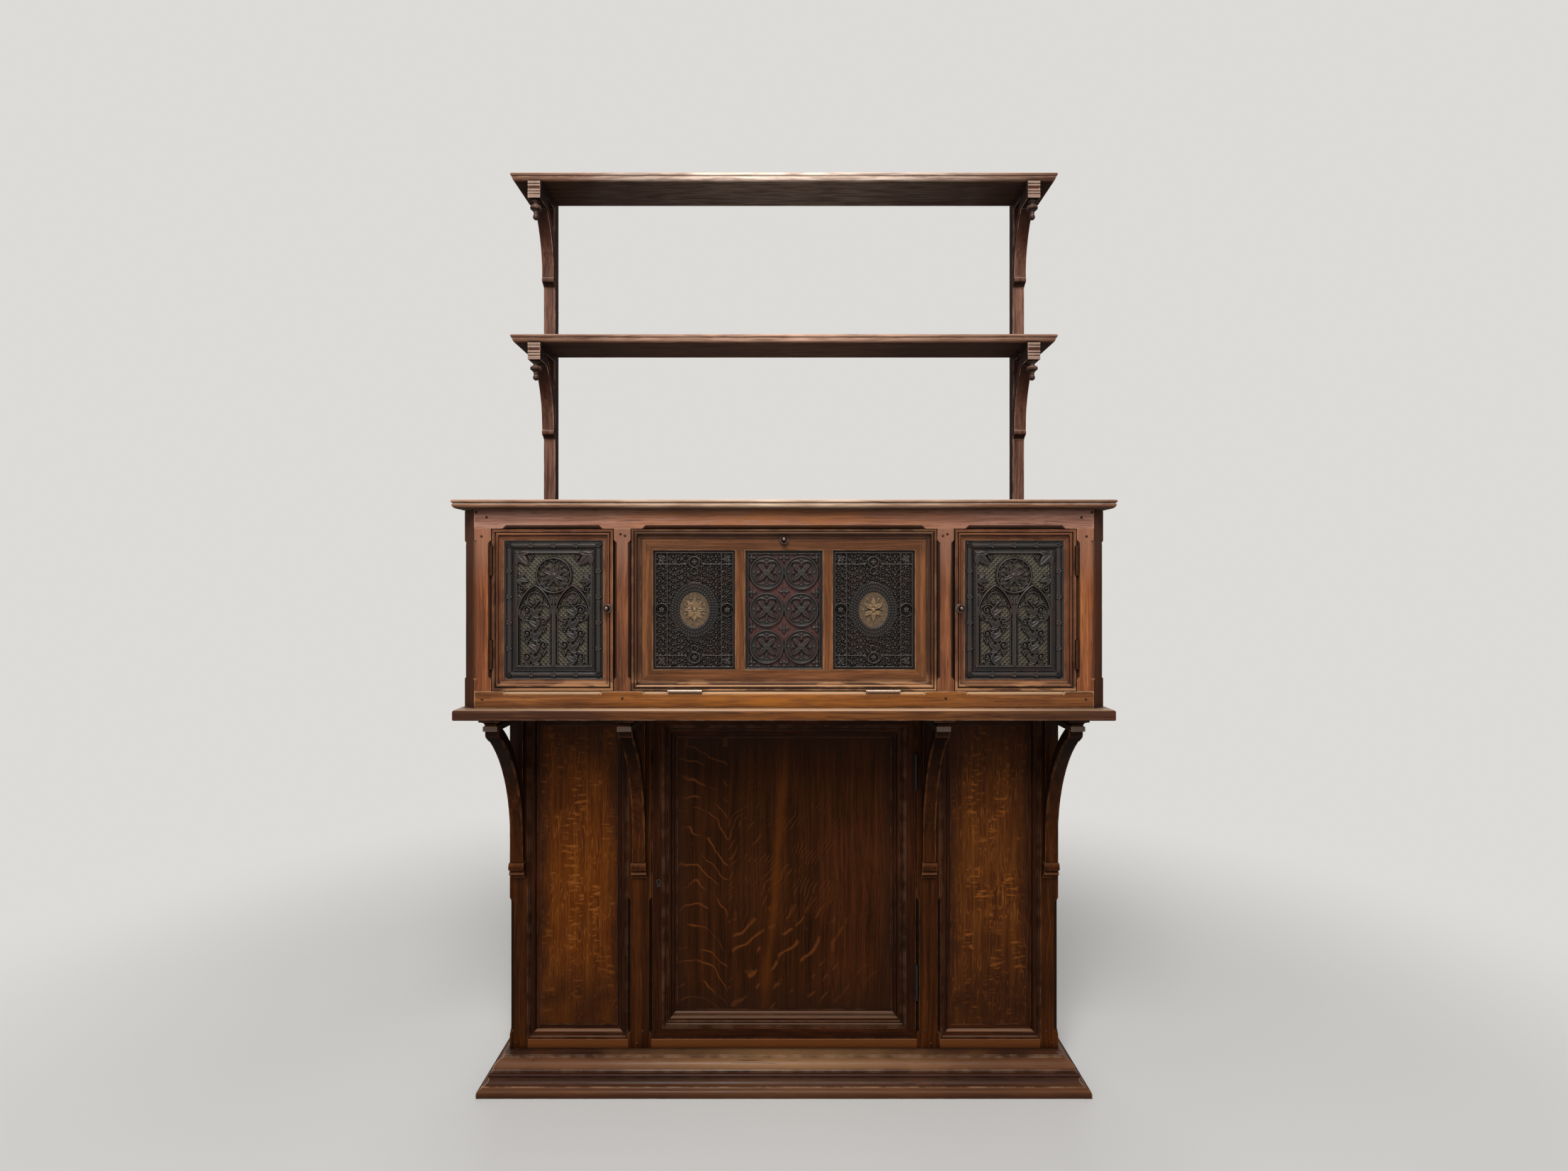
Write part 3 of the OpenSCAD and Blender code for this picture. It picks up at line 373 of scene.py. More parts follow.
def golden_figure(tree, place, bent, colour):
    """Rays of a quarter-sawn panel: wavering upright lines, and ladders of short cross flecks."""
    veins = add(tree, "MULTIPLY", stretched(tree, bent, (95, 30, 8), 1.5), 12.0)
    line = add(tree, "MapRange", add(tree, "PINGPONG", veins, 0.5), 0.36, 0.47)
    line = add(tree, "MULTIPLY", line, patches(tree, place, 17.0, 2.0, 0.40, 0.54, 0.0, 0.85))
    rung = add(tree, "MapRange", stretched(tree, place, (42, 30, 150), 1.0), 0.54, 0.64)
    here = add(tree, "MapRange", stretched(tree, place, (30, 20, 10), 1.0), 0.50, 0.58, 0.0, 0.9)
    both = add(tree, "MAXIMUM", line, add(tree, "MULTIPLY", rung, here))
    return tinted(tree, colour, bpy.context.scene.cabinet_colours.golden_ray, both)


def wavering_lines(tree, place, phase, swirl, wander, spacing, line, gaps):
    """Broken lines at equal steps of phase, in metres. They waver by wander at the scale swirl. line
    is the range of a line's edge, and gaps are patches."""
    phase = add(tree, "MULTIPLY_ADD", add(tree, "TexNoise", place, swirl, 2.0), wander, phase)
    phase = add(tree, "PINGPONG", add(tree, "MULTIPLY", phase, 1 / spacing), 0.5)
    return add(tree, "MULTIPLY", add(tree, "MapRange", phase, *line), patches(tree, place, *gaps))


def sweeping_rays(tree, place, axes, rise, spacing, strength):
    """Flecks along curves that rise to the right by rise times the square of the way across."""
    across = add(tree, "ADD", axes.outputs["X"], 0.24)
    lift = add(tree, "MULTIPLY", add(tree, "POWER", across, 2.0), rise)
    lift = add(tree, "MULTIPLY_ADD", across, 0.35, lift)
    phase = add(tree, "SUBTRACT", axes.outputs["Z"], lift)
    lines = wavering_lines(tree, place, phase, 11.0, 0.11, spacing, (0.36, 0.46), (34.0, 2.0, 0.48, 0.56))
    return add(tree, "MULTIPLY", lines, strength)


def arching_flakes(tree, place, axes):
    """Broad flakes that arch over a narrow board and fall to its right, with a few square patches."""
    across = add(tree, "ADD", axes.outputs["X"], 0.185)
    phase = add(tree, "MULTIPLY_ADD", add(tree, "POWER", across, 2.0), 9.0, axes.outputs["Z"])
    lines = wavering_lines(tree, place, phase, 15.0, 0.09, 37 * MM, (0.42, 0.48, 0.0, 0.7),
                           (21.0, 1.0, 0.40, 0.50))
    cells = add(tree, "TexVoronoi", {"Vector": place, "Scale": 10.0, "Randomness": 0.9},
                distance="CHEBYCHEV")
    return add(tree, "MAXIMUM", lines, add(tree, "MapRange", cells, 0.10, 0.13, 0.75, 0.0))


def door_figure(tree, place, bent, colour):
    """The lower door's panel: a narrow board at the left with broad flakes, then wide boards with
    long flecks that sweep up to the right, and one golden streak that leans."""
    joint_x = -112 * MM
    axes = add(tree, "SeparateXYZ", bent)
    straight = add(tree, "SeparateXYZ", place)
    x, z = straight.outputs["X"], straight.outputs["Z"]
    fine = sweeping_rays(tree, place, axes, 2.4, 16 * MM, 0.45)
    broad = sweeping_rays(tree, place, axes, 1.5, 46 * MM, 0.75)
    flecks = add(tree, "Mix", add(tree, "MapRange", z, 0.36, 0.28), fine, broad)
    for at, *fading in ((z, 0.60, 0.48, 0.1, 1.0), (x, 0.05, 0.15, 1.0, 0.2)):
        flecks = add(tree, "MULTIPLY", flecks, add(tree, "MapRange", at, *fading))
    narrow = add(tree, "LESS_THAN", x, joint_x)
    flecks = add(tree, "Mix", narrow, flecks, arching_flakes(tree, place, axes))
    colour = tinted(tree, colour, "#5e3213", flecks)

    # Reddish lines of straight grain in the right-hand board
    reds = add(tree, "MapRange", stretched(tree, bent, (300, 300, 3), 2.0), 0.54, 0.64, 0.0, 0.5)
    colour = tinted(tree, colour, "#4b2210", reds, add(tree, "MapRange", x, 0.02, 0.10))

    # The golden streak leans from the middle of the top to the left at the foot
    lean = add(tree, "MULTIPLY_ADD", axes.outputs["Z"], -0.083, axes.outputs["X"])
    uneven = add(tree, "TexNoise", bent, 13.0, 3.0)
    out = add(tree, "MULTIPLY_ADD", uneven, 0.016, away_from(tree, lean, -0.043))
    streak = add(tree, "MapRange", out, 0.004, 0.023, 0.7, 0.0, interpolation_type="SMOOTHSTEP")
    colour = tinted(tree, colour, "#512808", streak)
    # A dark line where the boards are jointed
    joint = add(tree, "MapRange", away_from(tree, x, joint_x), 0.4 * MM, 1.4 * MM, 0.5, 0.0)
    return tinted(tree, colour, "#150a05", joint)


def graded(*tints):
    """A figure of tints along an axis. Each is the axis, the places where it starts and ends to
    change, its shares there, its colour and its interpolation. X counts from the middle, either way."""
    def figure(tree, place, bent, colour):
        axes = add(tree, "SeparateXYZ", place)
        for axis, start, end, first, last, tone, interpolation in tints:
            at = add(tree, "ABSOLUTE", axes.outputs["X"]) if axis == "X" else axes.outputs[axis]
            share = add(tree, "MapRange", at, start, end, first, last, interpolation_type=interpolation)
            colour = tinted(tree, colour, tone, share)
        return colour
    return figure


def grey_sheen_under_head(top):
    """A figure for the cabinet's posts: pinkish grey under the head rail, partly the old oak's and partly
    painted sheen, and orange lower down.
    """
    return graded(("Z", top - 0.12, top - 0.02, 0.0, 0.55, "#86604f", "SMOOTHSTEP"))


def shaded_ends(dull, start, end, most):
    """A figure over the wear of a long board: painted shade darkens its ends, where the lamp's light
    falls off.
    """
    return graded(("X", start, end, 0.0, most, dull, "SMOOTHSTEP"))


def lit_low_rail():
    """A figure for the stand's rails: painted light makes the low one orange, where the lamp reaches
    below the ledge's shade.
    """
    return graded(("Z", 0.15, 0.25, 0.7, 0.0, "#6a3c1e", "LINEAR"))


def shaded_strut(front, foot):
    """A figure for the small brackets: painted shade makes them nearly black above, towards the shelf,
    while the strut's foot keeps its colour; the fillets of the block in front are pale, partly rubbed
    and partly painted sheen."""
    return graded(("Z", foot + 0.05, foot + 0.12, 0.0, 0.75, "#3a1a0f", "SMOOTHSTEP"),
                  ("Y", front + 0.6 * MM, front + 1.0 * MM, 0.75, 0.0, "#927a6b", "LINEAR"))


def cap_sheen_strut_shade(foot):
    """A figure for the large brackets: a painted grey sheen on the foot of the cap, and painted shade
    that makes the strut nearly black under it."""
    # Painted shade makes the strut nearly black under the cap
    strut_shade = graded(("Z", foot - 0.14, foot - 0.02, 0.0, 0.7, "#150a06", "LINEAR"))

    def figure(tree, place, bent, colour):
        z = add(tree, "SeparateXYZ", place).outputs["Z"]
        over = add(tree, "GREATER_THAN", z, foot - 0.5 * MM)
        below = add(tree, "MapRange", z, foot + 8.6 * MM, foot + 9.6 * MM, 1.0, 0.0)
        # Painted sheen on the foot of the cap
        return tinted(tree, strut_shade(tree, place, bent, colour), "#4b423b", over, below, 0.7)
    return figure


def shaded_flap(ring, mould):
    """A figure over the flap's wear: painted shade darkens the sunk moulding at its head and sides, and
    its top member, where the frame shades them. mould is the moulding's width."""
    head, foot = ring.mid_z + ring.half_h, ring.mid_z - ring.half_h

    def figure(tree, place, bent, colour):
        z = add(tree, "SeparateXYZ", place).outputs["Z"]
        past = add(tree, "MAXIMUM", *past_edges(tree, place, ring))
        sunk = add(tree, "MapRange", past, -1 * MM, -3.5 * MM, 0.5, 1.0)
        for share in (add(tree, "GREATER_THAN", past, -mould),
                      add(tree, "MapRange", z, foot + mould, foot + 2 * mould, 0.0, 0.68)):
            sunk = add(tree, "MULTIPLY", sunk, share)
        # Painted shade on the top member
        flap_shade = add(tree, "MapRange", z, head - 50 * MM, head - 34 * MM, 0.0, 0.3)
        return tinted(tree, colour, "#2a170f", add(tree, "MAXIMUM", sunk, flap_shade))
    return figure


def worn_foot(foot):
    """A figure for a door's frame: its lowest member is rubbed to bare orange wood in patches."""
    def figure(tree, place, bent, colour):
        z = add(tree, "SeparateXYZ", place).outputs["Z"]
        low = add(tree, "MapRange", z, foot + 13 * MM, foot + 21 * MM, 1.0, 0.0)
        bare = add(tree, "MapRange", stretched(tree, place, (11, 11, 60), 3.0), 0.52, 0.59, 0.0, 0.6)
        return tinted(tree, tinted(tree, colour, "#3f281d", low, 0.7), "#ab7a53", bare, low)
    return figure


def about_middle(tree, axes, uneven, reach, most):
    """A share that is most about the middle of a board's length, and none past reach from it."""
    out = add(tree, "MULTIPLY_ADD", uneven, 0.35, add(tree, "ABSOLUTE", axes.outputs["X"]))
    return add(tree, "MapRange", out, 0.15, reach, most, 0.0, interpolation_type="SMOOTHSTEP")


def painted_light_middle(pale, reach, most):
    """A figure for long boards: a painted pool of light makes their edges paler towards the middle, where
    the lamp falls brightest.
    """
    def figure(tree, place, bent, colour):
        axes = add(tree, "SeparateXYZ", place)
        near = about_middle(tree, axes, add(tree, "TexNoise", bent, 9.0, 3.0), reach, most)
        facing = add(tree, "SeparateXYZ", add(tree, "TexCoord").outputs["Normal"])
        level = add(tree, "MapRange", facing.outputs["Z"], 0.95, 0.99, 1.0, 0.35)
        # The painted light follows the grain in streaks about 5 mm high and 60 mm long
        streaks = add(tree, "MapRange", stretched(tree, bent, (16, 200, 200), 3.0), 0.38, 0.62, 0.5, 1.35)
        return tinted(tree, colour, pale, near, level, streaks)
    return figure


def plinth_height(tree, axes):
    """Height on the plinth: 0 at the floor and 1 at its top."""
    return add(tree, "DIVIDE", axes.outputs["Z"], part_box("plinth_front")[HIGH].z)


def plinth_members_light_and_shade(tree, place, bent, colour):
    """The plinth's members: an orange nose, a brown cove, a dark bead and a crown, partly their own
    tones and partly painted light and shade, with a painted highlight on the crown that is palest in
    the middle of its length."""
    axes = add(tree, "SeparateXYZ", place)
    height = plinth_height(tree, axes)
    # The members' tones by height: partly their own, partly painted light on the crown and nose and
    # painted shade on the cove and bead
    members = ramp(add(tree, "ValToRGB", height),
                   (0.05, "#452410"), (0.24, "#563217"), (0.31, "#402312"), (0.43, "#2d1507"),
                   (0.49, "#1c0903"), (0.61, "#311304"), (0.66, "#281005"), (0.74, "#6e472c"),
                   (0.90, "#664129"), (0.97, "#2e1d16"))
    members.color_ramp.interpolation = "EASE"
    uneven = add(tree, "TexNoise", bent, 14.0, 3.0)
    colour = tinted(tree, colour, members, add(tree, "MapRange", uneven, 0.3, 0.7, 0.45, 0.85))
    # A painted highlight on the crown, brightest in the middle of its length
    crown = add(tree, "MapRange", height, 0.66, 0.74, 0.15)
    return tinted(tree, colour, "#98714c", about_middle(tree, axes, uneven, 0.6, 0.55), crown)


def darkened_bead(tree, place, bent, colour):
    """Over the plinth's wear: its bead is darkened to nearly black red."""
    height = plinth_height(tree, add(tree, "SeparateXYZ", place))
    over = add(tree, "MapRange", height, 0.44, 0.48, 0.0, 0.65)
    return tinted(tree, colour, "#2a0f06", over, add(tree, "MapRange", height, 0.60, 0.64, 1.0, 0.0))


def blackened_carving(name, ground):
    """Oak carved by hand, blackened with stain and wax. Its ridges are lighter grey, partly rubbed and
    partly painted highlight, and its hollows darker, painted shade. Attributes of the mesh say where
    the painted ground and the gilding lie and how proud each point is."""
    colours = bpy.context.scene.cabinet_colours
    material, tree, shader = new_material(name, 0.42, shine=0.3)
    place = add(tree, "TexCoord").outputs["Object"]
    paint, gilt, proud = (add(tree, "Attribute", attribute_name=key).outputs["Fac"]
                          for key in ("paint", "gilt", "proud"))
    mottle = add(tree, "TexNoise", place, 240.0, 3.0)
    # Painted highlight on the ridges and painted shade in the hollows, by how proud each point is
    colour = ramp(add(tree, "ValToRGB", proud), (0.15, linear(colours.carving, 0.25)),
                  (0.5, colours.carving), (0.95, linear(colours.carving, 2.8)))
    colour = tinted(tree, colour, "#3a251b", patches(tree, place, 30.0, 2.0, 0.45, 0.7, 0.0, 0.4))
    dull = add(tree, "MapRange", mottle, 0.3, 0.65, 0.35)
    colour = tinted(tree, colour, ground, paint, dull)
    colour = tinted(tree, colour, colours.gilt, gilt, dull)
    # Painted shade from ambient occlusion darkens the carving's hollows, with the dirt in them
    colour = shade_and_grime_in_hollows(tree, colour, "#0d0a08", 6 * MM, 6, 0.2, 0.8, 0.9)
    gloss = add(tree, "MapRange", mottle, 0.3, 0.7, 0.30, 0.5)
    surface(tree, shader, colour, gloss, mottle, 0.3, 0.3 * MM)
    return material


def old_metal(name, roughness, coloured):
    """Cast, rolled or turned metal, finely pitted by age. coloured gives its colour."""
    material, tree, shader = new_material(name, roughness, metallic=1.0)
    place = add(tree, "TexCoord").outputs["Object"]
    specks = add(tree, "TexNoise", place, 420.0, 3.0)
    gloss = add(tree, "MapRange", specks, 0.3, 0.7, roughness - 0.08, roughness + 0.12)
    surface(tree, shader, coloured(tree, place, specks), gloss, specks, 0.15, 0.1 * MM)
    return material


def aged_metal(name, body, bright, roughness, outer=None):
    """Metal handled for long: dark in its hollows and brighter where it is rubbed.
    outer is the dark and bright colour of the work past the middle bay, where it differs."""
    def coloured(tree, place, specks):
        mixed = add(tree, "MULTIPLY_ADD", specks, 0.5, arrises(tree, 0.8 * MM, 0.99, 0.8, 0.7))
        colour = tinted(tree, body, bright, mixed)
        if outer:
            x = add(tree, "SeparateXYZ", place).outputs["X"]
            past = add(tree, "GREATER_THAN", add(tree, "ABSOLUTE", x), 0.3)
            colour = tinted(tree, colour, tinted(tree, *outer, mixed), past)
        return colour
    return old_metal(name, roughness, coloured)


def turned_knob(name, tip):
    """Bronze, turned and browned with age. The crown of the ball, where it faces the front, is a painted
    highlight as well as rubbed by fingers, and the rim of the rose, 13.8 mm behind the crown, is rubbed
    bright. tip is the Y of the crown."""
    def coloured(tree, place, specks):
        facing = add(tree, "SeparateXYZ", add(tree, "TexCoord").outputs["Normal"])
        # Painted highlight on the crown that faces the front, with the rubbing there
        crown = add(tree, "MapRange", facing.outputs["Y"], -0.78, -0.97, 0.0, 0.9)
        y = add(tree, "SeparateXYZ", place).outputs["Y"]
        rubbed = add(tree, "MAXIMUM", add(tree, "GREATER_THAN", y, tip + 13.8 * MM), crown)
        uneven = add(tree, "MapRange", specks, 0.3, 0.7, 0.7, 1.0)
        return tinted(tree, "#2b1b13", "#7f6c63", uneven, rubbed)
    return old_metal(name, 0.34, coloured)


def cabinet_tones():
    """The dark, middle, light and worn colours of the framing above the ledge."""
    colours = bpy.context.scene.cabinet_colours
    return colours.frame_dark, colours.frame_mid, colours.frame_light, colours.worn


def stand_tones():
    """The deeper colours of the framing below the ledge: partly its own, which has had less light and
    rubbing, and partly painted shade under the ledge.
    """
    colours = bpy.context.scene.cabinet_colours
    return colours.stand_dark, colours.stand_mid, colours.stand_light, colours.stand_worn


# Mouldings below the ledge, darker than the framing that they sit in, partly painted shade under the
# ledge
MOULDING_TONES = ("#110601", "#2a1104", "#411f0b", "#8a664e")


def framing_of(grain, key, colours, **settings):
    """A framing oak with tones of its own, made once and then shared."""
    key += {"X": "_lengthways", "Y": "_front_to_back", "Z": "_upright"}[grain]
    return bpy.data.materials.get(key) or oak(key, colours, grain, **settings)


def plinth_oak(grain):
    """The plinth's oak, scuffed by feet and brooms, with painted light and shade on its members."""
    return framing_of(grain, "scuffed_oak_plinth", ("#110602", "#40200d", "#683f24", "#d2a480"),
                      figure=plinth_members_light_and_shade, over=darkened_bead, shine=0.16, dusty=0.0, worn=0.7, dents=0.9)


def show(obj, body, slot, material, *nodes):
    """Gives a finished piece its material and its body, and hides the nodes that it stands for. slot is
    not used.
    """
    obj.data.materials.clear()
    obj.data.materials.append(material)
    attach(obj, body)
    if nodes:
        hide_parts(*nodes)
    return obj


def new_object(name, mesh):
    """An object at the origin, in the scene."""
    obj = bpy.data.objects.new(name, mesh)
    bpy.context.scene.collection.objects.link(obj)
    return obj


def body_of(node):
    """The body that carries a CAD node."""
    return frame["nodes"][node]["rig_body"]


def slot_of(node):
    """A CAD node's material slot."""
    return next(s["material_slot"] for s in frame["record"]["subparts"] if s["node"] == node)


def soften(node, material, grain="Z", fine=False, wear=1.0):
    """Stands a copy of a CAD node in its place, with its arrises rounded and unevenly worn.
    Nothing grows: rounding and wear only take wood away."""
    sizes = bpy.context.scene.cabinet_wear
    axis = "XYZ".index(grain)
    shape = bmesh.new()
    shape.from_mesh(frame["nodes"][node].data)
    bmesh.ops.remove_doubles(shape, verts=shape.verts, dist=WELD)
    bmesh.ops.dissolve_limit(shape, angle_limit=math.radians(0.6), verts=shape.verts, edges=shape.edges)
    low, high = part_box(node)
    count = int((high[axis] - low[axis]) / sizes.wear_step)
    normal = [float(i == axis) for i in range(3)]
    for i in range(1, count):
        at = [0.0, 0.0, 0.0]
        at[axis] = low[axis] + (high[axis] - low[axis]) * i / count
        bmesh.ops.bisect_plane(shape, geom=shape.verts[:] + shape.edges[:] + shape.faces[:],
                               dist=1e-7, plane_co=at, plane_no=normal)
    shape.normal_update()
    turn = math.radians(ROUNDED_ANGLE)
    sharp = [e for e in shape.edges if e.is_manifold and e.calc_face_angle(0) > turn]
    bmesh.ops.bevel(shape, geom=sharp, offset=sizes.fine_arris if fine else sizes.arris,
                    offset_type="OFFSET", segments=2, profile=0.5, affect="EDGES", clamp_overlap=True)
    shape.normal_update()
    wear_arrises(shape, sizes.wear * wear * (0.4 if fine else 1.0))
    mesh = bpy.data.meshes.new(node + "_worn")
    shape.to_mesh(mesh)
    shape.free()
    mesh.shade_smooth()
    mesh.set_sharp_from_angle(angle=math.radians(SHARP_ANGLE))
    rounded = new_object(node + "_worn", mesh)
    weigh_normals(rounded)
    return show(rounded, body_of(node), slot_of(node), material, node)


def settled(obj, name):
    """A plain mesh of an object as its modifiers leave it."""
    mesh = bpy.data.meshes.new_from_object(obj.evaluated_get(bpy.context.evaluated_depsgraph_get()))
    mesh.name = name
    return mesh


def weigh_normals(obj):
    """Keeps a board's broad faces flat right up to its rounded arrises, and leaves a plain mesh."""
    weigh = obj.modifiers.new("Weighted normals", "WEIGHTED_NORMAL")
    weigh.keep_sharp = True
    weigh.weight = 80
    mesh = settled(obj, obj.name)
    raw = obj.data
    obj.modifiers.clear()
    obj.data = mesh
    bpy.data.meshes.remove(raw)


def wear_arrises(shape, depth):
    """Draws the points of the rounded arrises in by an uneven amount."""
    if depth <= 0:
        return
    # Points whose faces turn by less lie on flat wood
    turned = math.cos(math.radians(14))
    moves = []
    for vert in shape.verts:
        normals = [face.normal for face in vert.link_faces]
        if len(normals) < 2 or min(normals[0].dot(n) for n in normals[1:]) > turned:
            continue
        broad = noise.noise(vert.co * 23.0)
        nick = noise.noise(vert.co * 95.0)
        amount = max(0.0, 0.45 * broad + 0.7 * max(0.0, nick - 0.25)) * depth
        moves.append((vert, vert.normal * -amount))
    for vert, move in moves:
        vert.co += move


def repaint(node, material):
    """Gives a CAD node, kept as it is, its finish."""
    mesh = frame["nodes"][node].data
    mesh.materials.clear()
    mesh.materials.append(material)


class Relief:
    """A carved panel as heights over a grid of points, in millimetres above its ground."""

    GROUND = 3.0  # Thickness of the wood behind the ground
    ROD = 9  # From a door panel's edge to the middle of its rod

    def __init__(self, node_box, step):
        low, high = node_box
        self.low, self.high = low, high
        self.width, self.depth, self.height = ((b - a) / MM for a, b in zip(low, high))
        self.top = self.depth - self.GROUND
        columns = int(self.width / (step / MM)) + 1
        rows = int(self.height / (step / MM)) + 1
        self.x, self.z = np.meshgrid(
            np.linspace(-self.width / 2, self.width / 2, columns),
            np.linspace(-self.height / 2, self.height / 2, rows))
        self.h = np.zeros_like(self.x)
        self.paint = np.zeros_like(self.x)
        self.gilt = np.zeros_like(self.x)
        self.edge = np.minimum(self.width / 2 - abs(self.x), self.height / 2 - abs(self.z))

    def raise_to(self, where, height, part=slice(None)):
        """Raises the points in where to height, a number or an array, over a part of the grid."""
        self.h[part] = np.where(where, np.maximum(self.h[part], height), self.h[part])

    def level(self, where, height, paint=0):
        """Fills or cuts the points in where to one height, bare or painted."""
        self.h = np.where(where, height, self.h)
        self.paint = np.where(where, paint, self.paint)

    def window(self, points, reach):
        """The part of the grid within reach of some points."""
        xs, zs = zip(*points)
        spans = []
        for line, values in ((self.z[:, 0], zs), (self.x[0], xs)):
            near = np.flatnonzero((line >= min(values) - reach) & (line <= max(values) + reach))
            spans.append(slice(near[0], near[-1] + 1) if len(near) else slice(0, 0))
        return tuple(spans)

    def stroke(self, points, half, top, taper=0.0, flat=0.0):
        """A carved line along points: round on top, or flat over the share flat of its width.
        It narrows by taper towards its end."""
        part = self.window(points, half + 1)
        x, z = self.x[part], self.z[part]
        best = np.full(x.shape, 1e9)
        share = np.zeros(x.shape)
        pieces = len(points) - 1
        for i in range(pieces):
            (ax, az), (bx, bz) = points[i], points[i + 1]
            length = (bx - ax) ** 2 + (bz - az) ** 2 + 1e-9
            t = np.clip(((x - ax) * (bx - ax) + (z - az) * (bz - az)) / length, 0, 1)
            gap = np.hypot(x - ax - t * (bx - ax), z - az - t * (bz - az))
            nearer = gap < best
            best = np.where(nearer, gap, best)
            share = np.where(nearer, (i + t) / pieces, share)
        width = half * (1 - taper * share)
        across = np.clip((best / width - flat) / (1 - flat), 0, 1)
        height = top * (0.55 + 0.45 * np.sqrt(1 - across ** 2))
        self.raise_to(best < width, height, part)

    def dome(self, x0, z0, radius, top):
        """A round bead of the carving."""
        part = self.window([(x0, z0)], radius)
        r = np.hypot(self.x[part] - x0, self.z[part] - z0) / radius
        height = top * (0.5 + 0.5 * np.sqrt(np.clip(1 - r ** 2, 0, 1)))
        self.raise_to(r < 1, height, part)

    def flower(self, x0, z0, radius, top, petals, turn=0.0):
        """A flower of round petals about a small boss."""
        for i in range(petals):
            middle = around(x0, z0, 0.58 * radius, turn + 2 * math.pi * i / petals)
            self.dome(*middle, 0.44 * radius, top * 0.88)
        self.dome(x0, z0, 0.3 * radius, top)

    def leaf(self, x0, z0, x1, z1, half, top):
        """A leaf from its stalk to its tip, with a sunk midrib."""
        part = self.window([(x0, z0), (x1, z1)], half)
        length = math.hypot(x1 - x0, z1 - z0)
        ux, uz = (x1 - x0) / length, (z1 - z0) / length
        x, z = self.x[part] - x0, self.z[part] - z0
        t = (x * ux + z * uz) / length
        side = np.abs(z * ux - x * uz)
        width = half * np.sin(math.pi * np.clip(t, 0, 1) ** 0.8)
        inside = (t > 0) & (t < 1) & (side < width)
        share = np.where(inside, side / np.maximum(width, 1e-6), 1)
        height = top * (0.6 + 0.4 * np.sqrt(1 - share ** 2)) - 1.6 * np.exp(-(side / 0.8) ** 2)
        self.raise_to(inside, height, part)

    def build(self, name, body, slot, material, node):
        """Turns the heights into a closed mesh that fills the node's box from the back."""
        rng = np.random.default_rng(bpy.context.scene.cabinet_carving.seed)
        rows, columns = self.h.shape
        hand = rng.normal(0, 0.06, self.h.shape) * (self.edge > 2)
        h = np.clip(self.h + hand, 0, self.top)
        blurred = blur(h, 4)
        # proud drives the carving's painted highlight on ridges and painted shade in hollows
        proud = np.clip(0.42 + 0.16 * (h - blurred) + 0.03 * (h - 3), 0, 1)
        paint = self.paint * (h < 0.8)
        front = np.stack([self.x * MM + (self.low.x + self.high.x) / 2,
                          self.high.y - (self.GROUND + h) * MM,
                          self.z * MM + (self.low.z + self.high.z) / 2], -1).reshape(-1, 3)
        index = np.arange(rows * columns).reshape(rows, columns)
        faces = np.stack([index[:-1, :-1], index[:-1, 1:], index[1:, 1:], index[1:, :-1]], -1)
        faces = faces.reshape(-1, 4).tolist()
        rim = np.concatenate([index[0, :-1], index[:-1, -1], index[-1, :0:-1], index[:0:-1, 0]])
        back = front[rim].copy()
        back[:, 1] = self.high.y
        first = rows * columns
        count = len(rim)
        for i in range(count):
            j = (i + 1) % count
            faces.append([int(rim[j]), int(rim[i]), first + i, first + j])
        faces.append(list(range(first + count - 1, first - 1, -1)))
        mesh = bpy.data.meshes.new(name)
        mesh.from_pydata(np.concatenate([front, back]).tolist(), [], faces)
        for key, values in (("paint", paint), ("gilt", self.gilt), ("proud", proud)):
            padded = np.concatenate([values.reshape(-1), np.zeros(count)]).astype(np.float32)
            mesh.attributes.new(key, "FLOAT", "POINT").data.foreach_set("value", padded)
        mesh.shade_smooth()
        mesh.set_sharp_from_angle(angle=math.radians(CARVED_SHARP_ANGLE))
        return show(new_object(name, mesh), body, slot, material, *([node] if node else []))


def blur(values, reach):
    """A box blur of a grid, by running sums."""
    for axis in (0, 1):
        widths = [(reach, reach) if a == axis else (0, 0) for a in (0, 1)]
        padded = np.pad(values, widths, mode="edge")
        total = np.cumsum(padded, axis=axis)
        total = np.insert(total, 0, 0, axis=axis)
        span = 2 * reach + 1
        high = np.take(total, range(span, total.shape[axis]), axis=axis)
        low = np.take(total, range(0, total.shape[axis] - span), axis=axis)
        values = (high - low) / span
    return values


def around(x0, z0, radius, angle):
    """The point at an angle, in radians, round x0, z0."""
    return x0 + radius * math.cos(angle), z0 + radius * math.sin(angle)


def on_oval(half_w, half_h, angle):
    """The point at an angle, in radians, of an oval about a panel's middle."""
    return half_w * math.cos(angle), half_h * math.sin(angle)


def arc(x0, z0, radius, start, end, count):
    """Points of an arc, with its angles in degrees."""
    angles = [math.radians(start + (end - start) * i / count) for i in range(count + 1)]
    return [around(x0, z0, radius, a) for a in angles]


def curl(x0, z0, radius, start, hand):
    """Points of a scroll that winds in to x0, z0 by 1.3 turns."""
    points = []
    for t in np.linspace(0, 1, 23):
        angle = math.radians(start) + hand * 2.6 * math.pi * t
        points.append(around(x0, z0, radius * (1 - 0.78 * t), angle))
    return points


def stepped(relief, *members):
    """Flat members of a border, each from one distance in from the edge to another, at a height.
    Gives the border's width."""
    for start, end, height in members:
        relief.raise_to((relief.edge >= start) & (relief.edge < end), height)
    return members[-1][1]


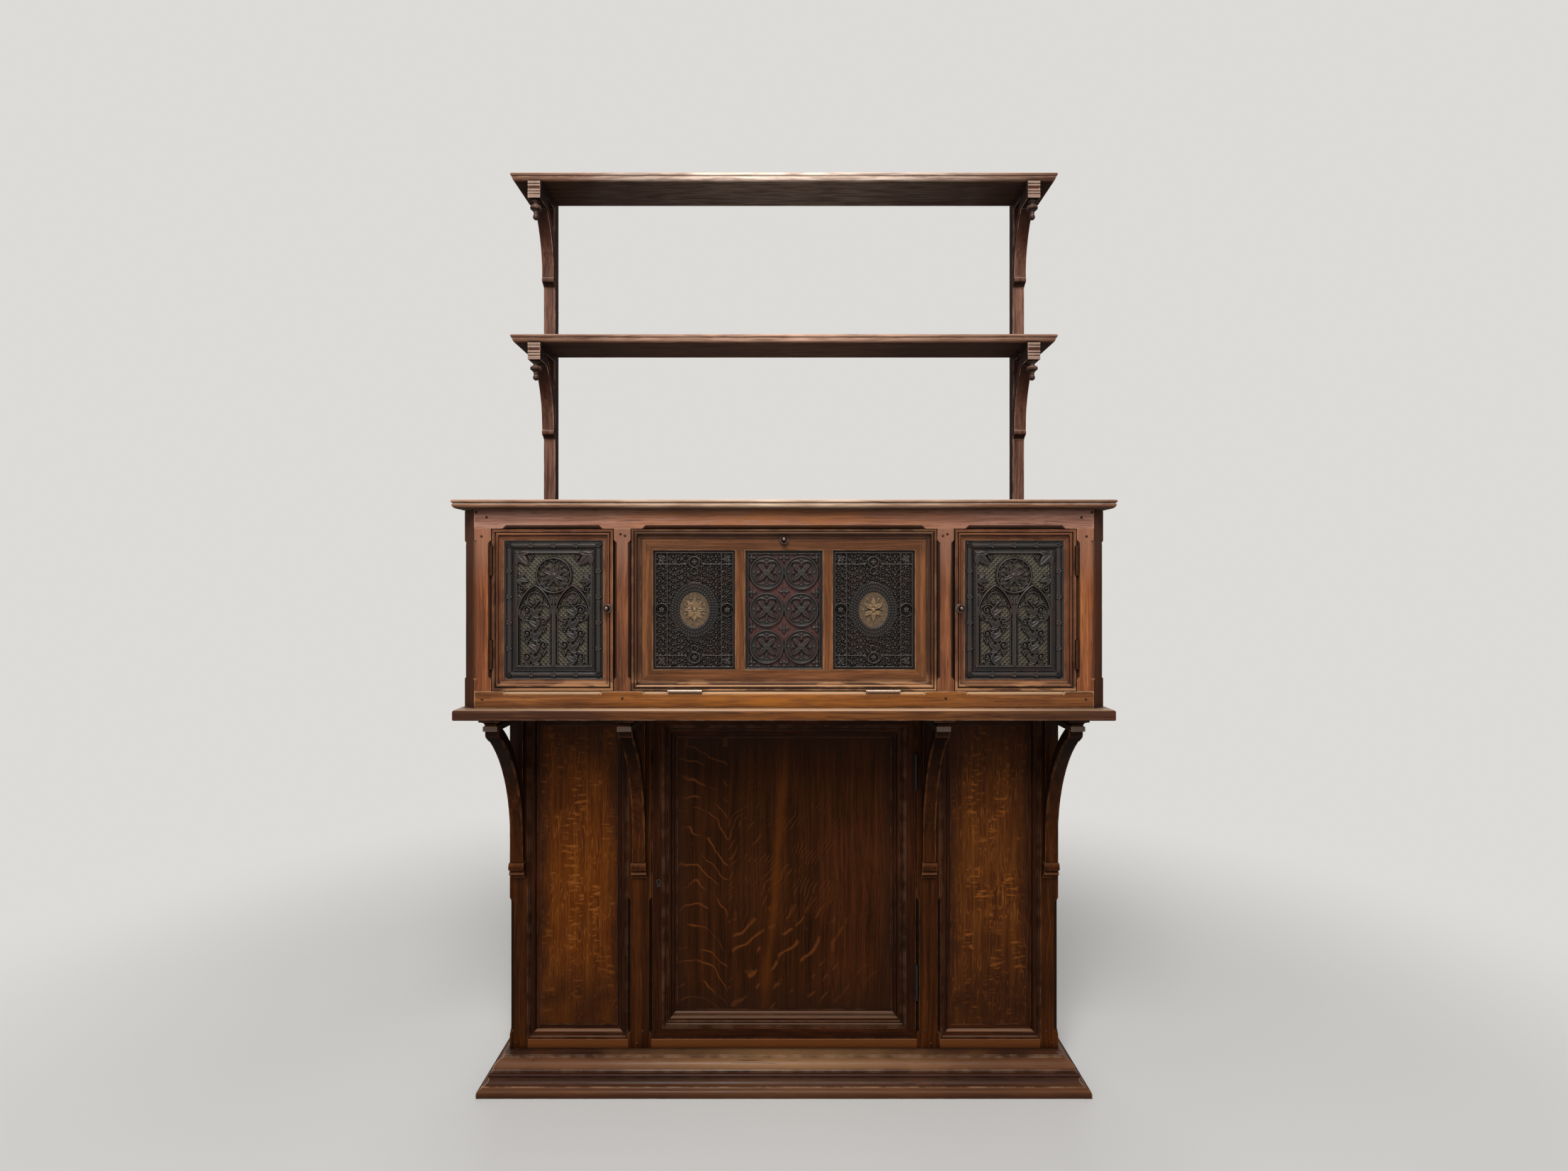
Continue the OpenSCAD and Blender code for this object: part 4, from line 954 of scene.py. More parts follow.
def rod_border(relief):
    """The door panels' border: a fillet, a rod and a sunk run for the beads, between fillets."""
    off = abs(relief.edge - relief.ROD)
    rod = np.sqrt(np.clip(1 - (off / 4.4) ** 2, 0, 1))
    relief.raise_to(off < 4.4, 3.0 + 2.8 * rod)
    return stepped(relief, (-1, 2.2, 4.8), (2.2, 4.4, 2.6), (13.3, 14.6, 2.4), (14.6, 15.8, 4.4),
                   (15.8, 20, 2.2), (20, 21.6, 4.6))


def plain_border(relief):
    """The middle flap panel's border: a fillet and a sunk run."""
    return stepped(relief, (-1, 2, 4.4), (2, 5.4, 2.0), (5.4, 7.0, 4.2))


def arch_line(x0, half, foot, spring, inset):
    """Points of a pointed arch on two straight legs, drawn inset from its edge."""
    radius = 2 * half - inset
    apex = math.acos(half / radius)
    right = [(x0 + half - inset, foot)]
    right += [around(x0 - half, spring, radius, apex * i / 14) for i in range(15)]
    return right + [(2 * x0 - x, z) for x, z in reversed(right)]


def in_arch(relief, x0, half, foot, spring, inset):
    """Where points lie inside such an arch."""
    x, z = abs(relief.x - x0), relief.z
    legs = (x < half - inset) & (z > foot) & (z <= spring)
    head = (z > spring) & (np.hypot(x + half, z - spring) < 2 * half - inset)
    return legs | head


def lobed_leaf(relief, x, z, side, length, lean=35.0, top=5.6):
    """A leaf of three lobes that grows from x, z towards side."""
    for turn, share in ((0, 1.0), (50, 0.74), (-50, 0.74)):
        angle, reach = math.radians(lean + turn), length * share
        relief.leaf(x, z, x + side * reach * math.cos(angle), z + reach * math.sin(angle),
                    0.27 * reach, top)


def berries(relief, x, z, radius):
    """A bunch of six berries."""
    for row, count in enumerate((3, 2, 1)):
        for i in range(count):
            relief.dome(x + (i - (count - 1) / 2) * 1.9 * radius, z - row * 1.65 * radius,
                        radius, 5.4)


def vine(relief, x0, foot, top, sway, pitch, hand):
    """A stem that sways up a light, with a leaf in each hollow and berries or a scroll outside."""
    stem = [(x0 + hand * sway * math.sin(2 * math.pi * (z - foot) / pitch), z)
            for z in np.linspace(foot, top, 56)]
    relief.stroke(stem, 2.0, 5.4, taper=0.35)
    for i in range(int((top - foot) / (pitch / 2))):
        z = foot + (i + 0.5) * pitch / 2
        side = hand * (1 if i % 2 == 0 else -1)
        x = x0 + side * sway
        lobed_leaf(relief, x - side * 1.5, z - 7, -side, 22, top=6.2)
        relief.stroke(curl(x + side * 8, z + 3, 7.2, 180 if side > 0 else 0, -side), 1.5, 5.0)
        relief.dome(x + side * 8, z + 3, 2.4, 5.8)
        berries(relief, x + side * 8, z - 7.5, 2.2)


def diaper(relief, where, pitch):
    """Small four-leaved flowers in low relief over a painted ground."""
    wave = np.cos(2 * math.pi * relief.x / pitch) * np.cos(2 * math.pi * relief.z / pitch)
    cross = np.cos(2 * math.pi * (relief.x + relief.z) / pitch)
    relief.h = np.where(where & (wave > 0.35) & (cross > -0.2), np.maximum(relief.h, 1.3), relief.h)


def lancets(relief, border):
    """Twin lancets with vines, under a rose with leaves: the doors' panels."""
    half_w, half_h = relief.width / 2 - border, relief.height / 2 - border
    field = relief.edge >= border
    half = half_w / 2 - 2.2
    foot, spring = 4 - half_h, -0.10 * half_h
    middles = (-half_w / 2, half_w / 2)
    rose_z, rose = 0.60 * half_h, 0.46 * half_w
    relief.level(field, 3.2)
    away = np.hypot(relief.x, relief.z - rose_z)
    lights = away < rose - 2
    corners = field & (relief.z > spring + half) & (away > rose + 3)
    for x0 in middles:
        lights |= in_arch(relief, x0, half, foot, spring, 2)
        corners &= ~in_arch(relief, x0, half, foot, spring, -3)
    sunk = (lights | corners) & field
    relief.level(sunk, 0, paint=1)
    diaper(relief, sunk, 8.0)

    for x0 in middles:
        hand = 1 if x0 > 0 else -1
        vine(relief, x0, foot + 2, spring + 0.66 * half, 7.0, 42, hand)
        lobed_leaf(relief, x0, spring + 0.66 * half, hand, 15, lean=90)
        relief.stroke(arch_line(x0, half, foot, spring, 0), 2.1, 6.6)
        relief.stroke(arch_line(x0, half, foot, spring, 4.2), 1.0, 4.8)
        for side in (-1, 1):
            relief.stroke(arc(x0 + side * 0.44 * half, spring + 0.16 * half, 0.46 * half,
                              90 - side * 190, 90 + side * 35, 20), 1.3, 5.4)
        relief.stroke(arc(x0, spring + 0.92 * half, 0.42 * half, -50, 230, 20), 1.3, 5.4)
    for i in range(8):
        a = math.pi / 8 + i * math.pi / 4
        relief.stroke(arc(*around(0, rose_z, 0.70 * rose, a), 0.27 * rose, math.degrees(a) - 130,
                          math.degrees(a) + 130, 14), 1.0, 4.6)
        relief.leaf(0, rose_z, *around(0, rose_z, 0.72 * rose, a), 0.13 * rose, 5.2)
    relief.dome(0, rose_z, 0.16 * rose, 6.2)
    relief.stroke(arc(0, rose_z, rose, 0, 360, 56), 2.1, 6.6)
    relief.stroke(arc(0, rose_z, rose - 4, 0, 360, 50), 1.0, 4.8)
    for side in (-1, 1):
        lobed_leaf(relief, side * (half_w - 2), half_h - 3, -side, 30, lean=-45, top=6.2)
        lobed_leaf(relief, side * (half_w - 3), rose_z - 6, -side, 20, lean=-15, top=6.2)
        relief.stroke(curl(side * (half_w - 9), rose_z - 25, 7.0, 90, side), 1.4, 5.0)
        berries(relief, side * (half_w - 26), half_h - 7, 2.2)
        relief.stroke([(side * (half_w - 1), foot), (side * (half_w - 1), half_h)], 1.3, 5.6)
    lobed_leaf(relief, 0, rose_z - rose - 20, 1, 12, lean=90)
    relief.stroke([(0, foot), (0, spring + half)], 2.4, 6.9)
    relief.stroke([(-half_w, foot - 2), (half_w, foot - 2)], 2.0, 6.2)
    relief.stroke([(-half_w, half_h - 1), (half_w, half_h - 1)], 1.4, 5.6)
    relief.h = np.minimum(relief.h, relief.top)


def quatrefoils(relief, border):
    """Six ringed quatrefoils with leaves, and flowers between the rings: the flap's middle panel."""
    half_w, half_h = relief.width / 2 - border, relief.height / 2 - border
    field = relief.edge >= border
    ring = min(half_w / 2, half_h / 3) - 1.4
    relief.level(field, 0, paint=1)
    middles = [(i * half_w / 2, j * half_h * 2 / 3) for i in (-1, 1) for j in (-1, 0, 1)]
    for cx, cz in middles:
        away = np.hypot(relief.x - cx, relief.z - cz)
        relief.level(away < ring, 3.4)
        lobes = away < 0.34 * ring
        angles = [math.pi / 4 + i * math.pi / 2 for i in range(4)]
        for a in angles:
            lx, lz = around(cx, cz, 0.44 * ring, a)
            lobes |= np.hypot(relief.x - lx, relief.z - lz) < 0.38 * ring
        relief.level(lobes, 0, paint=1)
        for a in angles:
            relief.stroke(arc(*around(cx, cz, 0.44 * ring, a), 0.38 * ring, math.degrees(a) - 118,
                              math.degrees(a) + 118, 18), 1.2, 5.4)
            relief.leaf(cx, cz, *around(cx, cz, 0.76 * ring, a), 0.17 * ring, 5.0)
            relief.dome(*around(cx, cz, 0.76 * ring, a - math.pi / 4), 0.08 * ring, 5.2)
        relief.flower(cx, cz, 0.24 * ring, 6.0, 6)
        relief.stroke(arc(cx, cz, ring - 0.6, 0, 360, 50), 1.9, 6.4)
    for i in (-1, 0, 1):
        for j in (-3, -1, 1, 3):
            inward = 0.94 if i or abs(j) == 3 else 1.0
            cx, cz = i * half_w * inward, j * half_h / 3 * inward
            for k in range(4):
                relief.leaf(cx, cz, *around(cx, cz, 11, k * math.pi / 2), 2.6, 5.0)
            relief.dome(cx, cz, 2.6, 5.6)
    # The border is cut again through what overlaps it
    for end, height in ((7, 5.2), (5.4, 2.0), (2, 4.4)):
        relief.level(relief.edge < end, height)
    relief.h = np.minimum(relief.h, relief.top)


def strapwork(relief):
    """The outer flap panels: crossing straps, roundels, scrolls and a sunk oval for the gilding."""
    w, h = relief.width / 2, relief.height / 2
    band = 25.0
    relief.raise_to(relief.edge < 3.2, 3.6)
    relief.raise_to((relief.edge > 3.2) & (relief.edge < 5.2), 5.4)
    corner = (relief.edge > 5.2) & (abs(relief.x) > w - band) & (abs(relief.z) > h - band)
    relief.paint = np.where(corner, 1, 0.25 * (relief.edge > 5.2))
    scroll_fill(relief)
    relief.level(np.hypot(relief.x / 43.0, relief.z / 51.0) < 1, 2.4)
    for side in (-1, 1):
        relief.stroke([(side * (w - band), -h + 4), (side * (w - band), h - 4)], 1.3, 5.4, flat=0.3)
        for hand in (-1, 1):
            relief.stroke([(hand * (w - 4), side * (h - band)), (hand * 15, side * (h - band))],
                          1.3, 5.4, flat=0.3)
        relief.stroke(arc(0, side * (h - band), 14, 0, 180 * side, 20), 1.4, 5.8)
        roundel(relief, 0, side * (h - 21), 9.5, 26, 6.0)
        relief.flower(0, side * (h - 21), 6.0, 4.8, 4)
        relief.stroke(arc(0, side * (h - 37), 6.0, 0, 360, 20), 1.4, 5.6)
        roundel(relief, side * (w - 14.5), 0, 11.5, 28, 6.2)
        relief.stroke(arc(side * (w - 14.5), 0, 8.2, 0, 360, 24), 0.9, 4.8)
        relief.flower(side * (w - 14.5), 0, 6.0, 4.8, 5, math.pi / 2)
    for cx in (-w + 15, w - 15):
        for cz in (-h + 15, h - 15):
            relief.flower(cx, cz, 7.5, 4.4, 4, math.pi / 4)


def roundel(relief, x0, z0, radius, count, top):
    """A ring round a cleared disc."""
    relief.level(np.hypot(relief.x - x0, relief.z - z0) < radius, 0.6)
    relief.stroke(arc(x0, z0, radius, 0, 360, count), 1.5, top)


def scroll_fill(relief):
    """Fills the field and the straps' bands with small scrolls, leaves and berries."""
    pitch = 11.4
    columns = int(relief.width / 2 / pitch) + 1
    rows = int(relief.height / 2 / pitch) + 1
    for i in range(columns):
        for j in range(-rows, rows + 1):
            for side in (-1, 1):
                x0, z0 = side * (0.5 + i) * pitch, (j + 0.5 * (i % 2)) * pitch
                hand = side * (1 if (i + j) % 2 else -1)
                turn = 90 * ((i + 2 * j) % 4)
                relief.stroke(curl(x0, z0, 5.0, turn, hand), 1.15, 4.4, taper=0.3)
                relief.dome(x0, z0, 1.6, 5.0)
                relief.leaf(x0 + 4.2, z0 - 3.6, x0 + 8.6, z0 + 3.4, 1.7, 4.2)
                relief.dome(x0 + side * 5.7, z0 + 5.4, 1.3, 4.2)
    relief.h = np.where(relief.edge > 5.2, relief.h, np.minimum(relief.h, 5.4))
    relief.h = np.where(relief.edge < 3.2, 3.6, relief.h)


def gilt_boss(relief, petals):
    """The gilded oval: a dished ground with a flower of pointed petals and a ring of dots."""
    ratio = np.hypot(relief.x / 27.0, relief.z / 32.5)
    relief.h = np.where(ratio < 1, 1.0 + 1.0 * ratio ** 2, relief.h)
    relief.gilt = np.where(ratio < 0.98, 0.45, relief.gilt)
    before = relief.h.copy()
    for i in range(petals):
        a = math.pi / 2 + 2 * math.pi * i / petals
        b = a + math.pi / petals
        relief.leaf(*on_oval(3, 3.6, a), *on_oval(19, 22.5, a), 4.4, 4.2)
        relief.stroke([on_oval(6, 7, b), on_oval(16, 19, b)], 0.8, 3.0)
        relief.dome(*on_oval(18.5, 22, b), 1.7, 3.6)
    relief.dome(0, 0, 4.2, 5.0)
    relief.gilt = np.where(relief.h > before + 0.3, 1.0, relief.gilt)


def ornament_tree(name, sizes, motif):
    """A Geometry Nodes tree, made once, that stands a motif on a mesh. sizes are its inputs' names,
    kinds and defaults, and motif gives the inputs of the node that stands it there."""
    tree = bpy.data.node_groups.get(name)
    if tree:
        return tree
    tree = bpy.data.node_groups.new(name, "GeometryNodeTree")
    for label, kind, default in (("Places", "Geometry", None), *sizes, ("Material", "Material", None)):
        socket = tree.interface.new_socket(label, in_out="INPUT", socket_type="NodeSocket" + kind)
        if default is not None:
            socket.default_value = default
    tree.interface.new_socket("Ornament", in_out="OUTPUT", socket_type="NodeSocketGeometry")
    given = add(tree, "NodeGroupInput").outputs
    placed = add(tree, "GeometryNodeInstanceOnPoints", motif(tree, given))
    real = add(tree, "GeometryNodeRealizeInstances", placed)
    painted = add(tree, "GeometryNodeSetMaterial", {"Geometry": real, "Material": given["Material"]})
    add(tree, "NodeGroupOutput", painted)
    return tree


def row_tree():
    """Beads or rosettes along the edges of a mesh."""
    def motif(tree, given):
        path = add(tree, "GeometryNodeMeshToCurve", given["Places"])
        spread = add(tree, "GeometryNodeResampleCurve", {"Curve": path, "Length": given["Spacing"]},
                     mode="LENGTH")
        boss, petal, circle = (add(tree, "MULTIPLY", given["Radius"], share)
                               for share in (given["Boss share"], 0.46, 0.62))
        ring = add(tree, "GeometryNodeMeshCircle", {"Vertices": given["Petals"], "Radius": circle})
        upright = add(tree, "GeometryNodeTransform", {"Geometry": ring, "Rotation": (math.pi / 2, 0, 0)})
        petals = add(tree, "GeometryNodeInstanceOnPoints", {
            "Points": upright,
            "Instance": add(tree, "GeometryNodeMeshIcoSphere", {"Radius": petal, "Subdivisions": 2})})
        middle = add(tree, "GeometryNodeMeshIcoSphere", {"Radius": boss, "Subdivisions": 2})
        flower = add(tree, "GeometryNodeJoinGeometry")
        for part in (middle, petals):
            plug(tree, part, flower.inputs[0])
        return {"Points": spread, "Instance": flower, "Scale": (1, 0.7, 1)}
    return ornament_tree("Ornament rows", (
        ("Spacing", "Float", 3.6 * MM), ("Radius", "Float", 1.5 * MM), ("Boss share", "Float", 1.0),
        ("Petals", "Int", 0)), motif)


def stud_tree():
    """Round pegs at the points of a mesh, facing the front."""
    def motif(tree, given):
        stud = add(tree, "GeometryNodeMeshCylinder", {
            "Vertices": 16, "Radius": given["Radius"], "Depth": given["Depth"]})
        facing = add(tree, "GeometryNodeTransform", {"Geometry": stud, "Rotation": (math.pi / 2, 0, 0)})
        return {"Points": given["Places"], "Instance": facing}
    return ornament_tree("Studs", (("Radius", "Float", 2.5 * MM), ("Depth", "Float", 1.0 * MM)), motif)


def from_tree(name, tree, verts, edges, values, body, slot, material, attributes=()):
    """Runs a Geometry Nodes tree over points and edges, and keeps the result as a plain mesh."""
    base = bpy.data.meshes.new(name + "_base")
    base.from_pydata(verts, edges, [])
    holder = new_object(name + "_base", base)
    modifier = holder.modifiers.new("Nodes", "NODES")
    modifier.node_group = tree
    for item in tree.interface.items_tree:
        if item.in_out == "INPUT" and item.name in values:
            modifier[item.identifier] = values[item.name]
        if item.in_out == "INPUT" and item.name == "Material":
            modifier[item.identifier] = material
    bpy.context.view_layer.update()
    mesh = settled(holder, name)
    bpy.data.objects.remove(holder)
    mesh.shade_smooth()
    for key, value in attributes:
        flat = np.full(len(mesh.vertices), value, np.float32)
        mesh.attributes.new(key, "FLOAT", "POINT").data.foreach_set("value", flat)
    return show(new_object(name, mesh), body, slot, material)


class CABINET_OT_plinth(bpy.types.Operator):
    """Rounds and finishes the moulded plinth"""

    bl_idname = "cabinet.plinth"
    bl_label = "Plinth"

    def execute(self, context):
        soften("plinth_front", plinth_oak("X"), "X", fine=True)
        soften("plinth_returns", plinth_oak("Y"), "Y", fine=True)
        return {"FINISHED"}


class CABINET_OT_stand_frame(bpy.types.Operator):
    """Rounds and finishes the stand's posts and rails"""

    bl_idname = "cabinet.stand_frame"
    bl_label = "Stand frame"

    def execute(self, context):
        for node in ("outer_post_left", "outer_post_right", "inner_post_left", "inner_post_right"):
            soften(node, framing_of("Z", "dark_waxed_oak", stand_tones(), shine=0.05))
        # Painted light on the low rail, and painted top light on the rails' upper faces
        scuffed = framing_of("X", "lit_low_oak_stand_rail", stand_tones(), figure=lit_low_rail(),
                             shine=0.05, dusty=0.7, lie=0.1, worn=0.9)
        soften("stand_rails", scuffed, "X")
        return {"FINISHED"}


def ring_of(node, member, mirrored=False):
    """The ring of a node's mitred frame. Where mirrored, it is the right one of the fixed panels' two."""
    low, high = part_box(node)
    if mirrored:
        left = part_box("bay_panel_left")
        low = Vector((-left[HIGH].x, low.y, low.z))
        high = Vector((-left[LOW].x, high.y, high.z))
    return Ring((low.x + high.x) / 2, (low.z + high.z) / 2, (high.x - low.x) / 2,
                (high.z - low.z) / 2, member, mirrored)


class CABINET_OT_stand_panels(bpy.types.Operator):
    """Finishes the two fixed panels and their mouldings"""

    bl_idname = "cabinet.stand_panels"
    bl_label = "Stand panels"

    def execute(self, context):
        colours = context.scene.cabinet_colours
        ring = ring_of("bay_mouldings", 24 * MM, mirrored=True)
        moulding = oak("waxed_oak_bay_moulding", MOULDING_TONES, mitre=ring, shine=0.05,
                       dusty=0.6, lie=0.2, worn=0.4)
        soften("bay_mouldings", moulding, "Z", fine=True)
        # The panels' foot stays darker, so their fade is set one member higher
        panel = ring._replace(mid_z=ring.mid_z + ring.member, half_w=ring.half_w - ring.member,
                              half_h=ring.half_h - 2 * ring.member)
        tones = {"left": ("#2e1505", colours.golden, "#67380c", "#7a4a1e"),
                 "right": ("#261205", "#47230a", "#5a320e", "#6f4520")}
        for side in ("left", "right"):
            # The fade is painted shade under the ledge and the frame, with dirt at the edges
            golden = oak("quartered_golden_oak_" + side, tones[side], figure=golden_figure,
                         fade=(panel, 120 * MM, "#241006"), worn=0, shine=0.05)
            soften("bay_panel_" + side, golden, wear=0)
        return {"FINISHED"}


class CABINET_OT_brackets(bpy.types.Operator):
    """Rounds and finishes the four large brackets"""

    bl_idname = "cabinet.brackets"
    bl_label = "Large brackets"

    def execute(self, context):
        cap_height = 20.5 * MM
        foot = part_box("bracket_outer_left")[HIGH].z - cap_height
        bracket_oak = oak("dark_waxed_oak_bracket", stand_tones(), shine=0.05, figure=cap_sheen_strut_shade(foot))
        for place in ("outer", "inner"):
            for side in ("left", "right"):
                soften(f"bracket_{place}_{side}", bracket_oak, fine=True)
        return {"FINISHED"}


class CABINET_OT_lower_door(bpy.types.Operator):
    """Finishes the lower door: its frame, moulding and panel"""

    bl_idname = "cabinet.lower_door"
    bl_label = "Lower door"

    def execute(self, context):
        stiles = oak("waxed_oak_low_door_frame", MOULDING_TONES, mitre=ring_of("low_door_frame", 20 * MM),
                     shine=0.05, worn=0.4)
        soften("low_door_frame", stiles)
        ring = ring_of("low_door_moulding", 28 * MM)
        moulding = oak("waxed_oak_low_door_moulding", MOULDING_TONES, mitre=ring, shine=0.05,
                       dusty=0.35, lie=0.2, worn=0.4)
        soften("low_door_moulding", moulding, fine=True)
        inner = ring._replace(half_w=ring.half_w - ring.member, half_h=ring.half_h - ring.member)
        # The panel's dark tones and its fade are partly painted shade under the ledge
        panel = oak("quartered_brown_oak", ("#160902", "#301605", "#3d1f0a", "#5a3015"),
                    figure=door_figure, fade=(inner, 65 * MM, "#26140a"), roughness=0.42, worn=0,
                    shine=0.04)
        soften("low_door_panel", panel, wear=0)
        return {"FINISHED"}


class CABINET_OT_boards(bpy.types.Operator):
    """Rounds and finishes the ledge under the cabinet and the slab on it"""

    bl_idname = "cabinet.boards"
    bl_label = "Ledge and top slab"

    def execute(self, context):
        colours = context.scene.cabinet_colours
        # The ledge: a painted pool of light on its middle, painted shade on its ends, and painted top
        # light on its top in front of the cabinet
        worn = oak("worn_oak_ledge", ("#1a0c07", "#3c1f0f", "#744a26", "#e2b894"), "X",
                   figure=painted_light_middle("#704017", 0.66, 0.65), roughness=0.36, worn=1.0, dusty=0.75,
                   lie=0.55, front=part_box("mullion_left")[LOW].y, dents=0.7,
                   over=shaded_ends("#391e12", 0.25, 0.55, 0.55))
        soften("ledge", worn, "X", fine=True, wear=2.0)
        # The rail's middle is painted paler, a painted pool of light
        orange = oak("orange_oak_rail", ("#32190b", "#693d1e", "#8d592f", "#e8bd92"), "X",
                     figure=painted_light_middle("#92581f", 0.66, 0.65), dusty=0.9, lie=0.1, worn=0.9)
        soften("cab_rail_bottom", orange, "X")
        # The slab's front is painted pale towards the middle, a painted highlight from the lamp
        rubbed = (colours.frame_dark, "#7d5640", "#a07860", "#e8d2bc")
        slab_oak = oak("rubbed_oak_slab", rubbed, "X", figure=painted_light_middle("#cfb196", 0.62, 0.8),
                       roughness=0.34, worn=0.9, dents=0.7)
        soften("top_slab", slab_oak, "X", fine=True, wear=2.0)
        return {"FINISHED"}


class CABINET_OT_cabinet_frame(bpy.types.Operator):
    """Rounds and finishes the cabinet's posts, head rail and sides"""

    bl_idname = "cabinet.cabinet_frame"
    bl_label = "Cabinet frame"

    def execute(self, context):
        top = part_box("mullion_left")[HIGH].z
        inner = ("#331c10", "#633a24", "#875435", "#c99768")
        for side in ("left", "right"):
            for post, key, tones in (("corner_post_", "orange_oak_post", cabinet_tones()),
                                     ("mullion_", "brown_oak_mullion", inner)):
                # The posts: painted sheen under the head rail, and painted shade on their chamfers, which
                # face sideways
                soften(post + side, framing_of("Z", key, tones, side=0.8, figure=grey_sheen_under_head(top)))
        # The head rail's pinkish grey is partly the old oak's and partly painted sheen, and its middle is
        # a painted pool of light
        grey_sheen_tones = ("#4a2d20", "#80594a", "#9d7462", "#cba283")
        soften("cab_rail_head", oak("grey_sheen_oak_head_rail", grey_sheen_tones, "X",
                                    figure=painted_light_middle("#93592f", 0.62, 0.75)), "X")
        side_oak = framing_of("Z", "waxed_oak_side", ("#301a0f", "#583420", "#70472b", "#a5754c"), side=0)
        for node in ("cab_side_left", "cab_side_right"):
            soften(node, side_oak)
        return {"FINISHED"}


class CABINET_OT_pegs(bpy.types.Operator):
    """Drives the small dark pegs that lock the frames' joints"""

    bl_idname = "cabinet.pegs"
    bl_label = "Pegs"

    def execute(self, context):
        peg_oak = framing_of("Y", "end_grain_oak_peg", ("#0f0603", "#25130a", "#39200f", "#5a3820"))
        proud = 0.1 * MM
        low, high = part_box("mullion_left")
        front, middle = low.y - proud, -(low.x + high.x) / 2
        head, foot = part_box("cab_rail_head"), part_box("cab_rail_bottom")
        # On the right half: the middle post, and then the corner post
        places = ((middle - 0.005, head[LOW].z - 0.013), (middle + 0.003, head[LOW].z - 0.010),
                  (middle, foot[LOW].z + 0.018), (head[HIGH].x - 0.003, head[HIGH].z - 0.005),
                  (head[HIGH].x - 0.022, head[HIGH].z - 0.014),
                  (head[HIGH].x - 0.013, head[LOW].z - 0.014),
                  (head[HIGH].x - 0.014, foot[LOW].z + 0.016))
        cabinet = [(mirror * x, front, z) for mirror in (-1, 1) for x, z in places]
        stand = []
        for mirror in (-1, 1):
            for node in ("inner_post_left", "outer_post_left"):
                low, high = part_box(node)
                front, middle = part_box("inner_post_left")[LOW].y - proud, -(low.x + high.x) / 2
                stand += [(mirror * (middle + 0.005), front, low.z + 0.010),
                          (mirror * (middle - 0.006), front, low.z + 0.034)]
        values = {"Radius": 2.3 * MM, "Depth": 0.5 * MM}
        for name, places in (("cabinet_pegs", cabinet), ("stand_pegs", stand)):
            from_tree(name, stud_tree(), places, [], values, "root", "oak_frame", peg_oak)
        return {"FINISHED"}


class CABINET_OT_doors(bpy.types.Operator):
    """Rounds and finishes the frames of the side doors and the flap"""

    bl_idname = "cabinet.doors"
    bl_label = "Door and flap frames"

    def execute(self, context):
        red = ("#2c150c", "#5c3421", "#7a4a2d", "#b9845a")
        brown = ("#351c0f", "#5d381f", "#815130", "#d3a074")
        flap_moulding = 18 * MM
        for node, member, tones in (("door_left_frame", 19 * MM, red), ("door_right_frame", 19 * MM, red),
                                    ("flap_frame", 37 * MM, brown)):
            ring, foot = ring_of(node, member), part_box(node)[LOW].z
            flap_shade = shaded_flap(ring, flap_moulding) if node == "flap_frame" else None
            # The flap's lower moulding gets more painted top light
            material = oak("waxed_oak_" + node, tones, mitre=ring, figure=worn_foot(foot), over=flap_shade,
                           dusty=0.85 if flap_shade else 0.4, lie=0.15)
            soften(node, material, fine=True, wear=1.5)
        return {"FINISHED"}


class CABINET_OT_carvings(bpy.types.Operator):
    """Carves the five panels and sets their beads and rosettes"""

    bl_idname = "cabinet.carvings"
    bl_label = "Carved panels"

    def execute(self, context):
        sizes = context.scene.cabinet_carving
        colours = context.scene.cabinet_colours
        olive = blackened_carving("blackened_carved_oak_olive", colours.door_ground)
        red = blackened_carving("blackened_carved_oak_red", colours.flap_ground)
        for side in ("left", "right"):
            node = f"door_{side}_carving"
            relief = Relief(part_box(node), sizes.step)
            border = rod_border(relief)
            lancets(relief, border)
            relief.build(node + "_relief", body_of(node), slot_of(node), olive, node)
            door_ornament(relief, f"door_{side}", body_of(node), slot_of(node), olive)
        self.flap_panels(context, red)
        return {"FINISHED"}

    def flap_panels(self, context, red):
        """The flap's carvings share one node, so their boxes come from its three loose solids."""
        sizes = context.scene.cabinet_carving
        boxes = loose_boxes("flap_carvings")
        reliefs = []
        for place, box in zip(("left", "middle", "right"), boxes):
            relief = Relief(box, sizes.step)
            if place == "middle":
                quatrefoils(relief, plain_border(relief))
            else:
                strapwork(relief)
                gilt_boss(relief, 8 if place == "left" else 6)
            node = "flap_carvings" if place == "middle" else None
            relief.build(f"flap_{place}_relief", "flap", "carved_panel", red, node)
            reliefs.append(relief)
        for place, relief in (("left", reliefs[0]), ("right", reliefs[2])):
            wreath(relief, f"flap_{place}", red)


def loose_boxes(node):
    """The boxes of a node's separate solids, from left to right."""
    shape = bmesh.new()
    shape.from_mesh(frame["nodes"][node].data)
    bmesh.ops.remove_doubles(shape, verts=shape.verts, dist=WELD)
    boxes = []
    left = set(shape.verts)
    while left:
        group, queue = [], [left.pop()]
        while queue:
            vert = queue.pop()
            group.append(vert.co.copy())
            for edge in vert.link_edges:
                other = edge.other_vert(vert)
                if other in left:
                    left.remove(other)
                    queue.append(other)
        low = Vector([min(c[i] for c in group) for i in range(3)])
        high = Vector([max(c[i] for c in group) for i in range(3)])
        boxes.append((low, high))
    shape.free()
    return sorted(boxes, key=lambda box: box[LOW].x)


def world_points(relief, points, height):
    """Points of a panel, in metres, at a height above its ground."""
    mid_x = (relief.low.x + relief.high.x) / 2
    mid_z = (relief.low.z + relief.high.z) / 2
    y = relief.high.y - (relief.GROUND + height) * MM
    return [(mid_x + x * MM, y, mid_z + z * MM) for x, z in points]


